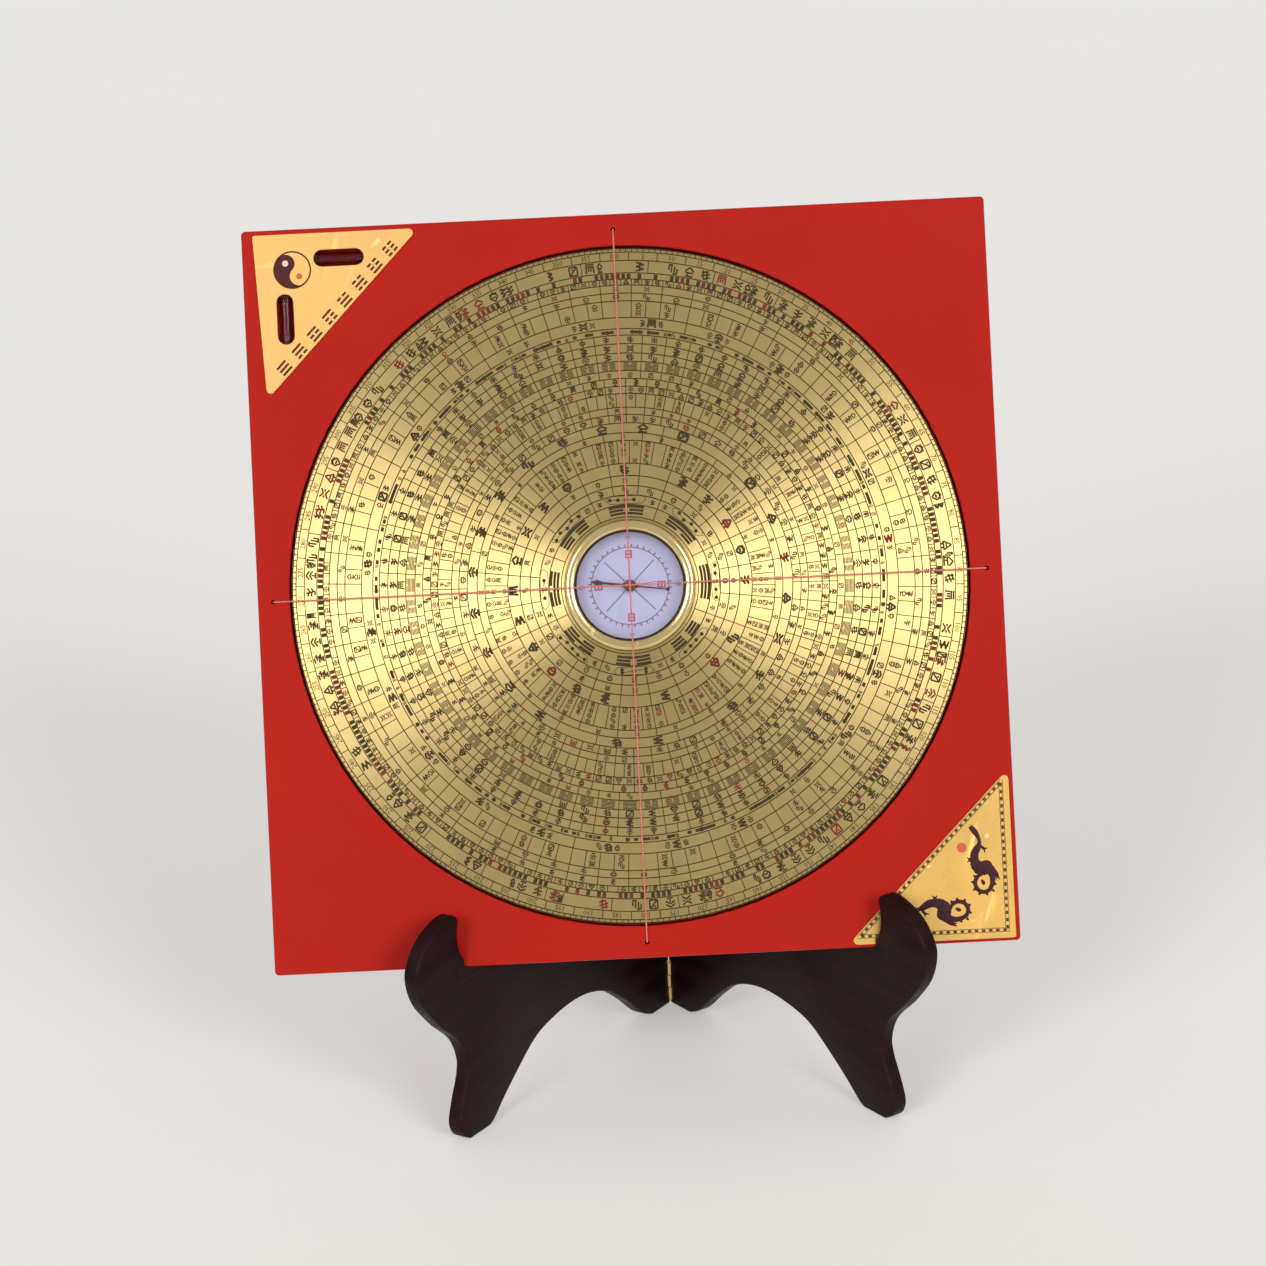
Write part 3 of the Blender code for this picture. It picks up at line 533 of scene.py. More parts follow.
wings = {
    "ledge": 0.071, "boardReach": 0.115, "hookReach": 0.032, "hookRise": 0.0235, "hookClear": 0.0015,
    "foot": 0.146, "archRise": 0.0285, "spineRise": 0.137, "spineStock": 0.008, "rounding": 0.0010,
    "gap": 0.0003, "curveSteps": 6, "leafBed": 0.0012, "leafReach": 0.0059, "knuckle": 0.0018, "hinge": 0.016,
    "knuckleFacets": 24, "roundSteps": 4, "slack": 0.002, "shoulder": 0.91, "mouth": 0.04, "heel": 0.5,
    "arch": [(0.089, 0.0), (0.137, 0.12), (0.212, 0.46), (0.295, 0.77), (0.384, 0.947), (0.479, 1.0),
             (0.582, 0.947), (0.664, 0.825), (0.753, 0.526), (0.822, 0.26), (0.868, 0.06), (0.892, 0.0)],
    "leg": [(0.980, 0.0), (1.010, 0.042), (1.022, 0.12), (1.003, 0.24), (0.976, 0.366),
            (0.972, 0.465), (1.002, 0.60), (1.080, 0.754), (1.146, 0.92)],
    "hook": [(1.0, 0.22), (0.93, 0.53), (0.72, 0.81), (0.42, 0.97), (0.20, 0.99),
             (0.12, 0.88), (0.15, 0.66), (0.14, 0.42), (0.06, 0.20), (-0.10, 0.05), (-0.30, 0.04)],
    "spine": [(1.14, 0.966), (1.01, 1.0), (0.87, 0.978), (0.77, 0.912), (0.66, 0.818), (0.52, 0.737),
              (0.31, 0.664), (0.12, 0.591)],
}


def wingOutline():
    w = wings
    lean, spread = math.radians(compass["lean"]), math.radians(stand["spread"])
    notch = w["boardReach"] / math.cos(spread)
    back = w["boardReach"] - (compass["thick"] + w["gap"]) / math.cos(lean)

    def behind(height):
        return (back - (height - w["ledge"]) * math.tan(lean)) / math.cos(spread)

    shoulder, mouth = w["ledge"] + w["spineRise"] * w["shoulder"], w["ledge"] + w["hookRise"] * w["mouth"]
    arch = [(w["foot"] * x, w["archRise"] * z) for x, z in w["arch"]]
    front = [(w["foot"] * x, w["ledge"] * z) for x, z in w["leg"]]
    front += [(notch + w["hookReach"] * x, w["ledge"] + w["hookRise"] * z) for x, z in w["hook"]]
    top = behind(w["ledge"] + w["spineRise"])
    rear = [(behind(shoulder) + w["spineStock"], shoulder)]
    rear += [(top * x, w["ledge"] + w["spineRise"] * z) for x, z in w["spine"]]
    rear.append((stand["wingGap"], w["ledge"] + w["spineRise"] * w["heel"]))
    outline = [Vector((stand["wingGap"], 0.0))]
    outline += smoothLine(arch, w["curveSteps"]) + smoothLine(front, w["curveSteps"])
    outline.append(Vector((behind(mouth) + w["spineStock"], mouth)))
    return outline + smoothLine(rear, w["curveSteps"])


def boardPath():
    half, back = compass["side"] / 2, -compass["thick"] - wings["gap"]
    lean, lift = math.radians(compass["lean"]), compass["side"]
    foot = -half - wings["gap"]
    rise, out = foot + lift * math.cos(lean), wings["hookClear"] + lift * math.sin(lean)
    outline = [(foot, back), (foot, wings["hookClear"]), (rise, out), (rise, back)]
    shape = bmesh.new()
    addPrism(shape, outline, -half - wings["slack"], half + wings["slack"])
    for vert in shape.verts:
        vert.co = vert.co.zxy
    return meshFrom("boardPath", shape)


def makeWing(name, side, look):
    w = wings
    shape = bmesh.new()
    addPrism(shape, wingOutline(), side * stand["wingGap"], side * (stand["wingGap"] + stand["wingThick"]))
    weight = shape.edges.layers.float.new("bevel_weight_edge")
    for edge in shape.edges:
        start, end = (vert.co for vert in edge.verts)
        edge[weight] = float(start.z == end.z and max(start.x, end.x) > 2 * stand["wingGap"])
    for vert in shape.verts:
        vert.co = vert.co.xzy
    solid = linked("wingStock", meshFrom(name, shape))
    turned = wingFrame(side)
    solid.matrix_world = turned
    rounding = solid.modifiers.new("rounding", "BEVEL")
    rounding.width, rounding.segments, rounding.limit_method = w["rounding"], w["roundSteps"], "WEIGHT"
    helpers = [cutFrom(solid, boardPath(), onBoard)]
    inner, outer = -side * w["slack"], side * w["leafReach"]
    for pin in ("lower_hinge_pin", "upper_hinge_pin"):
        low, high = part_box(pin)
        middle = (low.z + high.z) / 2
        bed = bmesh.new()
        outline = [(-w["slack"], inner), (w["leafBed"], inner), (w["leafBed"], outer), (-w["slack"], outer)]
        addPrism(bed, outline, middle - w["hinge"] / 2 - w["gap"], middle + w["hinge"] / 2 + w["gap"])
        helpers.append(cutFrom(solid, meshFrom("bed", bed), turned))
        profile = rod(w["knuckle"], low.z - w["gap"], high.z + w["gap"])
        helpers.append(cutFrom(solid, turnedMesh("recess", profile, w["knuckleFacets"]), turned))
    mesh = finished(solid, *helpers)
    mesh.transform(turned)
    showPiece(name + "_carved", meshFrom(name, shapeOf(mesh), smooth=30), look, name, [name])


metalWear = {"scratchHaze": 0.18, "cloudHaze": 0.08, "scratchDepth": 0.000004}
metals = {
    # colour, dull colour, scale of the clouds, scale of the scratches, roughness
    "polishedBrass": ((0.80, 0.56, 0.22), (0.62, 0.42, 0.15), 60.0, 260.0, 0.16),
    "bezelBrass": ((0.78, 0.62, 0.30), (0.66, 0.50, 0.22), 80.0, 300.0, 0.14),
    "goldPlate": ((0.86, 0.53, 0.19), (0.80, 0.45, 0.14), 40.0, 200.0, 0.30),
    "mirrorGold": ((0.96, 0.62, 0.19), (0.90, 0.52, 0.14), 50.0, 220.0, 0.24),
}
paints = {
    # colour, faded colour, roughness, and what else differs from the common paint
    "darkInk": ((0.046, 0.032, 0.012), (0.080, 0.056, 0.022), 0.5, {"specular": 0.15}),
    "redInk": ((0.17, 0.022, 0.012), (0.24, 0.05, 0.03), 0.5, {"specular": 0.15}),
    "brownInk": ((0.10, 0.040, 0.015), (0.15, 0.07, 0.03), 0.5, {"specular": 0.15}),
    "maroonInk": ((0.080, 0.014, 0.018), (0.115, 0.028, 0.028), 0.45, {"specular": 0.15}),
    "orangeInk": ((0.72, 0.12, 0.03), (0.62, 0.10, 0.03), 0.4, {}),
    "paleInk": ((0.86, 0.66, 0.52), (0.80, 0.58, 0.44), 0.4, {}),
    "oliveInk": ((0.070, 0.042, 0.018), (0.13, 0.075, 0.035), 0.4, {"specular": 0.2}),
    "dragonInk": ((0.032, 0.006, 0.012), (0.080, 0.022, 0.030), 0.4,
                  {"specular": 0.15, "cloud": 700.0, "patchy": 0.9, "depth": 0.00004}),
    "cardGrey": ((0.16, 0.12, 0.20), (0.26, 0.21, 0.32), 0.5, {}),
    "cardRed": ((0.62, 0.05, 0.10), (0.66, 0.14, 0.22), 0.5, {}),
    "cardViolet": ((0.40, 0.20, 0.52), (0.50, 0.32, 0.62), 0.5, {}),
    "blackRubber": ((0.036, 0.018, 0.012), (0.055, 0.032, 0.022), 0.6, {"cloud": 500.0, "specular": 0.2}),
    "plugRubber": ((0.060, 0.010, 0.013), (0.090, 0.018, 0.022), 0.6, {"cloud": 500.0, "specular": 0.2}),
    "whiteCard": ((0.64, 0.62, 0.92), (0.58, 0.56, 0.86), 0.55, {"cloud": 120.0, "depth": 0.000005}),
    "redThread": ((0.72, 0.19, 0.16), (0.84, 0.36, 0.31), 0.75, {"cloud": 900.0, "grit": 6000.0}),
}
glasses = {
    # colour, smear, and what else differs from plain glass
    "clearGlass": ((0.97, 0.98, 0.99), 0.02, {}),
    "tubeGlass": ((0.97, 0.94, 0.94), 0.02, {"ior": 1.16}),
    "wineLiquid": ((0.30, 0.025, 0.035), 0.01, {"ior": 1.20, "clear": 0.75}),
}


print("materials")
looks = {"lacquer": lacquerLook(), "dialBrass": dialBrassLook(), "turnedWood": turnedWoodLook()}
for maker, rows in ((metalLook, metals), (paintLook, paints), (glassLook, glasses)):
    looks.update({name: maker(name, *row) for name, row in rows.items()})


print("stand")
for side, word in ((-1, "left"), (1, "right")):
    wood = "rosewood" + word.capitalize()
    looks[wood] = rosewoodLook(wood, wingFrame(side))
    makeWing("stand_" + word, side, wood)
for height in ("lower", "upper"):
    for part in ("leaf_left", "leaf_right", "pin"):
        paintNode(f"{height}_hinge_{part}", "polishedBrass")


print("board and dial")
for name, look in (
    ("base_board", "lacquer"), ("dial_face", "dialBrass"), ("dial_disc", "turnedWood"),
    ("capsule_cup", "polishedBrass"), ("compass_card", "whiteCard"), ("pivot_pin", "polishedBrass"),
    ("needle", "maroonInk"), ("needle_cap", "redInk"), ("corner_plate_level", "goldPlate"),
    ("corner_plate_dragon", "mirrorGold"), ("level_across_plug_far", "plugRubber"),
    ("level_across_plug_near", "plugRubber"), ("level_upright_plug_far", "plugRubber"),
    ("level_upright_plug_near", "plugRubber"),
):
    paintNode(name, look)


# what Geometry Nodes grow

def growTree(name, inputs, output):
    return startTree(name, "GeometryNodeTree", inputs, {output: "Geometry"})


def grown(name, tree, sockets, values, look, place):
    holder = linked(name, bpy.data.meshes.new(name))
    grow = holder.modifiers.new("grow", "NODES")
    grow.node_group = tree
    for label, value in {**values, "Material": looks[look]}.items():
        grow[sockets[label]] = value
    mesh = finished(holder)
    mesh.transform(place)
    return mesh


def endTree(tree, given, sink, parts):
    joined = tree.nodes.new("GeometryNodeJoinGeometry")
    for part in parts:
        tree.links.new(part, joined.inputs[0])
    real = addNode(tree, "GeometryNodeRealizeInstances", {"Geometry": joined.outputs[0]})
    painted = {"Geometry": real.outputs[0], "Material": given["Material"]}
    tree.links.new(addNode(tree, "GeometryNodeSetMaterial", painted).outputs[0], sink.inputs[0])


def useGroup(tree, group, values):
    return addNode(tree, "GeometryNodeGroup", values, node_tree=group).outputs[0]


def scattered(tree, count, spot, values):
    points = addNode(tree, "GeometryNodePoints", {"Count": count, "Position": spot}).outputs[0]
    return addNode(tree, "GeometryNodeInstanceOnPoints", {"Points": points, **values}).outputs[0]


def shelfOf(tree, collection):
    values = {"Collection": collection, "Separate Children": True, "Reset Children": True}
    return addNode(tree, "GeometryNodeCollectionInfo", values).outputs[0]


def indexOf(tree):
    return tree.nodes.new("GeometryNodeInputIndex").outputs[0]


def closeTree(tree, sink, made):
    tree.links.new(made, sink.inputs[0])
    return tree


def block(tree, size):
    return addNode(tree, "GeometryNodeMeshCube", {"Size": size}).outputs[0]


def transformed(tree, geometry, key, value):
    return addNode(tree, "GeometryNodeTransform", {"Geometry": geometry, key: value}).outputs[0]


def library(name, meshes):
    shelf = bpy.data.collections.new(name)
    for index, mesh in enumerate(meshes):
        shelf.objects.link(bpy.data.objects.new(f"{name}{index:02d}", mesh))
    return shelf


# the dial's print: ruled rings of cells, with plain strokes, bars and numbers that spell nothing

dialPrint = {
    "lift": 0.00001, "ink": 0.00003, "ringLine": 0.00040, "cellLine": 0.00034, "facets": 144, "seed": 11,
    "stroke": 0.165, "boldStroke": 0.22, "section": 0.58, "kindSeed": 57.0, "kinds": 1000, "nudge": 0.01,
    # inner and outer radius in mm, cells, turn of their lines in cells, then rows of marks:
    # place across the ring, tall and wide in mm, cells, turn in cells, share shown, share in red, kind,
    # and where some cells stay bare, how often and which
    "rings": [
        (26.3, 31.0, 8, 0.5, []),
        (31.0, 34.7, 8, 0.5, [(0.5, 2.1, 2.0, 8, 0.4, 1.0, 0.0, "fine"),
         (0.5, 2.1, 2.0, 8, 0.6, 1.0, 0.0, "fine")]),
        (34.7, 38.3, 24, 0.5, [(0.5, 2.6, 2.4, 24, 0.0, 0.6, 0.04, "fine")]),
        (38.3, 42.2, 24, 0.5, [(0.5, 2.4, 2.0, 24, 0.0, 0.8, 0.04, "fine")]),
        (42.2, 46.9, 24, 0.5, [(0.5, 3.9, 3.9, 24, 0.0, 0.9, 0.1, "bold")]),
        (46.9, 55.7, 72, 0.5, [(0.13, 2.0, 2.0, 72, 0.0, 0.8, 0.05, "fine", 6, 3),
         (0.38, 2.0, 2.0, 72, 0.0, 0.9, 0.05, "fine", 6, 3),
         (0.62, 2.0, 2.0, 72, 0.0, 0.9, 0.06, "fine", 6, 3),
         (0.87, 2.0, 2.0, 72, 0.0, 0.9, 0.05, "fine", 6, 3)]),
        (55.7, 58.7, 24, 0.5, [(0.5, 2.2, 1.8, 24, 0.0, 0.9, 0.04, "fine")]),
        (58.7, 62.5, 24, 0.0, [(0.5, 3.3, 4.4, 24, 0.5, 0.95, 0.08, "bold")]),
        (62.5, 65.7, 60, 0.75, [(0.5, 2.5, 2.9, 60, 0.25, 0.95, 0.04, "fine")]),
        (65.7, 68.5, 60, 0.75, [(0.5, 1.9, 2.0, 60, 0.25, 0.7, 0.05, "fine")]),
        (68.5, 73.8, 120, 0.5, [(0.28, 2.2, 1.9, 24, 0.2, 0.9, 0.04, "fine"),
         (0.72, 2.2, 1.9, 24, 0.2, 0.9, 0.04, "fine"), (0.28, 2.2, 1.9, 24, -0.2, 0.8, 0.04, "fine"),
         (0.72, 2.2, 1.9, 24, -0.2, 0.8, 0.04, "fine")]),
        (73.8, 76.6, 60, 0.75, [(0.5, 2.3, 2.4, 120, 0.0, 0.95, 0.12, "fine")]),
        (76.6, 79.6, 60, 0.75, [(0.5, 2.6, 2.1, 60, 0.25, 0.95, 0.08, "bold")]),
        (79.6, 82.6, 64, 0.0, [(0.5, 2.0, 2.0, 64, 0.5, 0.7, 0.05, "fine")]),
        (82.6, 86.2, 64, 0.0, []),
        (86.2, 89.4, 64, 0.0, [(0.5, 2.7, 3.3, 64, 0.5, 0.95, 0.04, "fine")]),
        (89.4, 93.0, 64, 0.0, [(0.5, 2.9, 3.0, 64, 0.5, 0.95, 0.05, "bold")]),
        (93.0, 96.3, 128, 0.0, [(0.5, 2.2, 2.6, 64, 0.5, 0.95, 0.04, "fine")]),
        (96.3, 98.8, 0, 0.0, [(0.5, 1.15, 1.62, 384, 0.5, 0.5, 0.0, "solid"),
         (0.5, 1.7, 1.3, 192, 0.25, 0.5, 0.0, "fine")]),
        (98.8, 103.1, 24, 0.0, [(0.5, 3.4, 3.6, 24, 0.5, 0.95, 0.05, "bold"),
         (0.5, 2.6, 2.2, 24, 0.367, 0.9, 0.04, "fine"), (0.5, 2.6, 2.2, 24, 0.633, 0.9, 0.04, "fine")]),
        (103.1, 109.5, 120, 0.0, [(0.3, 2.6, 2.4, 24, 0.3, 0.85, 0.04, "fine"),
         (0.7, 2.6, 2.4, 24, 0.3, 0.85, 0.04, "fine"), (0.3, 2.6, 2.4, 24, 0.7, 0.85, 0.04, "fine"),
         (0.7, 2.6, 2.4, 24, 0.7, 0.85, 0.04, "fine")]),
        (109.5, 112.5, 60, 0.5, [(0.5, 2.3, 2.7, 60, 0.0, 0.9, 0.04, "fine")]),
        (112.5, 115.6, 60, 0.5, [(0.5, 2.2, 2.2, 60, 0.0, 0.8, 0.04, "fine")]),
        (115.6, 117.9, 180, 0.5, [(0.5, 2.0, 2.4, 180, 0.0, 0.95, 0.04, "fine")]),
        (117.9, 120.3, 0, 0.0, [(0.5, 1.9, 1.45, 360, 0.5, 0.6, 0.2, "solid")]),
        (120.3, 125.1, 30, 0.0, [(0.5, 4.0, 3.8, 120, 0.5, 0.75, 0.08, "fine"),
         (0.5, 3.9, 2.2, 40, 0.3, 0.6, 0.05, "bold")]),
        (125.1, 128.3, 72, 0.5, []),
        (128.3, 129.6, 360, 0.0, []),
    ],
    "numbers": {"radius": 126.7, "count": 72, "step": 5, "tall": 2.1, "wide": 1.3},
    "hexagrams": {"inner": 82.85, "count": 64, "step": 0.52, "wide": 5.2, "bar": 0.30, "gap": 0.7},
    # start and end of each stroke, in hundredths of the mark
    "strokes": [
        [(-45, 5, 0, 45), (0, 45, 45, 5), (-40, -8, 40, -8), (-40, -42, 40, -42), (-15, -8, -15, -42)],
        [(-42, 42, 42, 22), (42, 22, -42, 2), (-42, 2, 42, -20), (42, -20, -42, -42), (0, 45, 0, -45)],
        [(0, 45, 42, 0), (42, 0, 0, -45), (0, -45, -42, 0), (-42, 0, 0, 45), (-42, 30, 42, 30),
         (-20, -5, 20, -5)],
        [(-45, 40, 10, 45), (-20, 20, 45, 20), (-45, 0, 30, -5), (-30, -22, 45, -18), (-40, -42, 20, -42),
         (25, 40, -10, -40)],
        [(-45, 15, 0, 45), (0, 45, 45, 15), (-45, -15, 0, 12), (0, 12, 45, -15), (-30, -42, 30, -42),
         (0, -5, 0, -30)],
        [(-45, 20, 20, 45), (-45, -10, 40, 20), (-20, -40, 45, -10), (-35, 45, -20, -30), (5, 45, 20, -45)],
        [(-45, 42, 45, 42), (-45, 20, 45, 20), (-35, 10, -40, -42), (-12, 10, -12, -25), (12, 10, 12, -25),
         (35, 10, 40, -42)],
        [(-40, 42, 40, 42), (40, 42, 40, -42), (40, -42, -40, -42), (-40, -42, -40, 42), (-40, -42, 40, 42),
         (-20, 20, 0, 20)],
        [(-45, 40, 0, 10), (0, 10, 45, 40), (-45, -40, 0, -10), (0, -10, 45, -40), (-45, 0, -20, 0),
         (20, 0, 45, 0)],
        [(-10, 45, 10, -45), (-42, 30, -5, 15), (42, 30, -2, 5), (-42, -5, 0, -12), (42, -5, 5, -25),
         (-30, -42, 0, -40)],
        [(0, 45, -45, -30), (0, 45, 45, -30), (-45, -30, 45, -30), (-20, -5, 20, -5), (-30, -45, -10, -45),
         (10, -45, 30, -45)],
        [(-42, 42, -42, -10), (-15, 42, -15, -30), (15, 30, 15, -42), (42, 10, 42, -42), (-42, 42, 0, 42),
         (0, -42, 42, -42)],
    ],
    "solid": [(-50, 0, 50, 0)],
}


def strokeMesh(name, strokes, width):
    shape = bmesh.new()
    for x, y, toX, toY in strokes:
        start, end = Vector((x / 100, y / 100)), Vector((toX / 100, toY / 100))
        side = across(end - start, width)
        loft(shape, [[
            shape.verts.new((*(spot + side), 0)), shape.verts.new((*(spot - side), 0)),
            shape.verts.new((*spot, dialPrint["ink"])),
        ] for spot in (start, end)])
    return meshFrom(name, shape)


def digitMeshes():
    meshes = []
    for digit in "0123456789":
        text = bpy.data.curves.new("digit" + digit, "FONT")
        text.body, text.align_x, text.align_y = digit, "CENTER", "CENTER"
        text.resolution_u, text.extrude = 1, 0.5
        mesh = finished(linked("digit", text))
        rows = [vert.co for vert in mesh.vertices]
        middle = [(max(co[axis] for co in rows) + min(co[axis] for co in rows)) / 2 for axis in range(2)]
        tall = max(co.y for co in rows) - min(co.y for co in rows)
        shape = shapeOf(mesh)
        shape.transform(Matrix.Diagonal((1 / tall, 1 / tall, dialPrint["ink"], 1))
                        @ Matrix.Translation((-middle[0], -middle[1], 0.5)))
        meshes.append(meshFrom("digit" + digit, shape))
    return meshes


def ringPlace(tree, radius, turns):
    turn = times(tree, turns, math.tau)
    x, y = [times(tree, maths(tree, wave, turn), radius) for wave in ("COSINE", "SINE")]
    return combined(tree, x, y), combined(tree, z=minus(tree, turn, math.pi / 2))


def cellPlace(tree, given, radius):
    index = indexOf(tree)
    turns = shared(tree, plus(tree, index, given["Turn"]), given["Cells"])
    return index, *ringPlace(tree, radius, turns)


def randomOf(tree, kind, seed, low, high):
    made = addNode(tree, "FunctionNodeRandomValue", {"Seed": seed}, data_type=kind)
    first, output = {"FLOAT": (2, 1), "INT": (4, 2)}[kind]
    made.inputs[first].default_value, made.inputs[first + 1].default_value = low, high
    return made.outputs[output]


def buildRingLine():
    tree, given, sink, _ = growTree("ringLine", {
        "Radius": 0.05, "Line": 0.0002, "Flatness": 0.2, "Facets": 128,
    }, "Ring")
    circle = "GeometryNodeCurvePrimitiveCircle"
    path = addNode(tree, circle, {"Resolution": given["Facets"], "Radius": given["Radius"]}).outputs[0]
    half = times(tree, given["Line"], dialPrint["section"])
    section = addNode(tree, circle, {"Resolution": 3, "Radius": half}).outputs[0]
    swept = addNode(tree, "GeometryNodeCurveToMesh", {"Curve": path, "Profile Curve": section}).outputs[0]
    flat = combined(tree, 1.0, 1.0, given["Flatness"])
    return closeTree(tree, sink, transformed(tree, swept, "Scale", flat))


def buildCellLines():
    tree, given, sink, _ = growTree("cellLines", {
        "Cells": 24, "Turn": 0.0, "Inner": 0.04, "Outer": 0.05, "Line": 0.0002, "Ink": 0.00003,
    }, "Lines")
    radius = times(tree, plus(tree, given["Inner"], given["Outer"]), 0.5)
    _, spot, facing = cellPlace(tree, given, radius)
    long = minus(tree, given["Outer"], given["Inner"])
    bar = block(tree, combined(tree, given["Line"], long, given["Ink"]))
    return closeTree(tree, sink, scattered(tree, given["Cells"], spot, {"Instance": bar, "Rotation": facing}))


def buildMarkRing():
    tree, given, sink, _ = growTree("markRing", {
        "Cells": 24, "Turn": 0.5, "Radius": 0.04, "Tall": 0.002, "Wide": 0.002, "From": 0.0, "To": 1.0,
        "Period": 1.0, "Rest": -1.0, "Seed": 0, "Marks": "Collection",
    }, "Marks")
    index, spot, facing = cellPlace(tree, given, given["Radius"])
    # the same draw gives the black marks and the red ones, so that they never lie on each other
    draw = randomOf(tree, "FLOAT", given["Seed"], 0.0, 1.0)
    shown = times(tree, maths(tree, "GREATER_THAN", draw, given["From"]),
                  maths(tree, "LESS_THAN", draw, given["To"]))
    bare = minus(tree, maths(tree, "MODULO", index, given["Period"]), given["Rest"])
    shown = times(tree, shown, maths(tree, "GREATER_THAN", maths(tree, "ABSOLUTE", bare), 0.5))
    kindSeed = plus(tree, given["Seed"], dialPrint["kindSeed"])
    return closeTree(tree, sink, scattered(tree, given["Cells"], spot, {
        "Instance": shelfOf(tree, given["Marks"]), "Pick Instance": True, "Selection": shown,
        "Instance Index": randomOf(tree, "INT", kindSeed, 0, dialPrint["kinds"]), "Rotation": facing,
        "Scale": combined(tree, given["Wide"], given["Tall"], 1.0),
    }))


def printOnDial(name, tree, sockets, values, look, sunk=0.3):
    lift = dialPrint["lift"] + dialPrint["ink"] * sunk
    mesh = grown(name, tree, sockets, values, look, onDial @ Matrix.Translation((0, 0, lift)))
    print(f"  {name}: {len(mesh.polygons)} faces")
    showPiece(name, mesh, look, "dial")


def inMetres(row, *keys):
    return {key.capitalize(): row[key] / 1000 for key in keys}


def printLines():
    ink = dialPrint
    ringLine, cellLines = buildRingLine(), buildCellLines()
    tree, given, sink, sockets = growTree("dialLines", {
        "Ring Line": 0.0002, "Cell Line": 0.0001, "Ink": 0.00003, "Facets": 128, "Material": "Material",
    }, "Lines")
    flat = shared(tree, given["Ink"], given["Ring Line"])
    parts = [useGroup(tree, ringLine, {
        "Radius": radius / 1000, "Line": given["Ring Line"], "Flatness": flat, "Facets": given["Facets"],
    }) for radius in [ring[0] for ring in ink["rings"]] + [ink["rings"][-1][1]]]
    parts += [useGroup(tree, cellLines, {
        "Cells": cells, "Turn": turn, "Inner": inner / 1000, "Outer": outer / 1000,
        "Line": given["Cell Line"], "Ink": given["Ink"],
    }) for inner, outer, cells, turn, _ in ink["rings"] if cells]
    endTree(tree, given, sink, parts)
    values = {"Ring Line": ink["ringLine"], "Cell Line": ink["cellLine"], "Ink": ink["ink"],
              "Facets": ink["facets"]}
    printOnDial("dial_lines", tree, sockets, values, "darkInk", 1)


def printMarks(name, look, inRed, fromRing, toRing):
    tree, given, sink, sockets = growTree(name, {"Seed": 0, "Material": "Material"}, "Marks")
    parts = []
    for index in range(fromRing, toRing):
        inner, outer, _, _, rows = dialPrint["rings"][index]
        for row, (place, tall, wide, cells, turn, shown, red, kind, *bare) in enumerate(rows):
            low, high = (-1.0, red) if inRed else (red, shown)
            if high > 0:
                parts.append(useGroup(tree, markRing, {
                    "Cells": cells, "Turn": turn, "Tall": tall / 1000, "Wide": wide / 1000,
                    "From": low, "To": high, "Radius": (inner + (outer - inner) * place) / 1000,
                    "Marks": markKinds[kind], **dict(zip(("Period", "Rest"), map(float, bare))),
                    "Seed": plus(tree, given["Seed"], float(index * 10 + row)),
                }))
    endTree(tree, given, sink, parts)
    printOnDial(name, tree, sockets, {"Seed": dialPrint["seed"]}, look)


def printNumbers():
    ring = dialPrint["numbers"]
    tree, given, sink, sockets = growTree("dialNumbers", {
        "Count": 72, "Step": 5, "Radius": 0.1, "Tall": 0.002, "Wide": 0.001, "Turn": 0.25,
        "Digits": "Collection", "Material": "Material",
    }, "Numbers")
    index = plus(tree, indexOf(tree), 1.0)
    value = times(tree, index, given["Step"])
    long = plus(tree, *[maths(tree, "GREATER_THAN", value, most) for most in (9.5, 99.5)])
    girth = times(tree, given["Radius"], math.tau)
    parts = []
    for column in range(3):
        shift = minus(tree, times(tree, long, 0.5), float(column))
        shift = shared(tree, times(tree, shift, given["Wide"]), girth)
        turns = minus(tree, given["Turn"], shared(tree, index, given["Count"]))
        spot, facing = ringPlace(tree, given["Radius"], minus(tree, turns, shift))
        digit = maths(tree, "FLOOR", shared(tree, value, 10.0 ** column))
        parts.append(scattered(tree, given["Count"], spot, {
            "Instance": shelfOf(tree, given["Digits"]), "Pick Instance": True,
            "Selection": maths(tree, "GREATER_THAN", value, 10.0 ** column - 0.5),
            "Instance Index": plus(tree, maths(tree, "MODULO", digit, 10.0), dialPrint["nudge"]),
            "Rotation": facing, "Scale": combined(tree, given["Tall"], given["Tall"], 1.0),
        }))
    endTree(tree, given, sink, parts)
    values = {"Count": ring["count"], "Step": ring["step"], "Digits": digits,
              **inMetres(ring, "radius", "tall", "wide")}
    printOnDial("dial_numbers", tree, sockets, values, "brownInk")


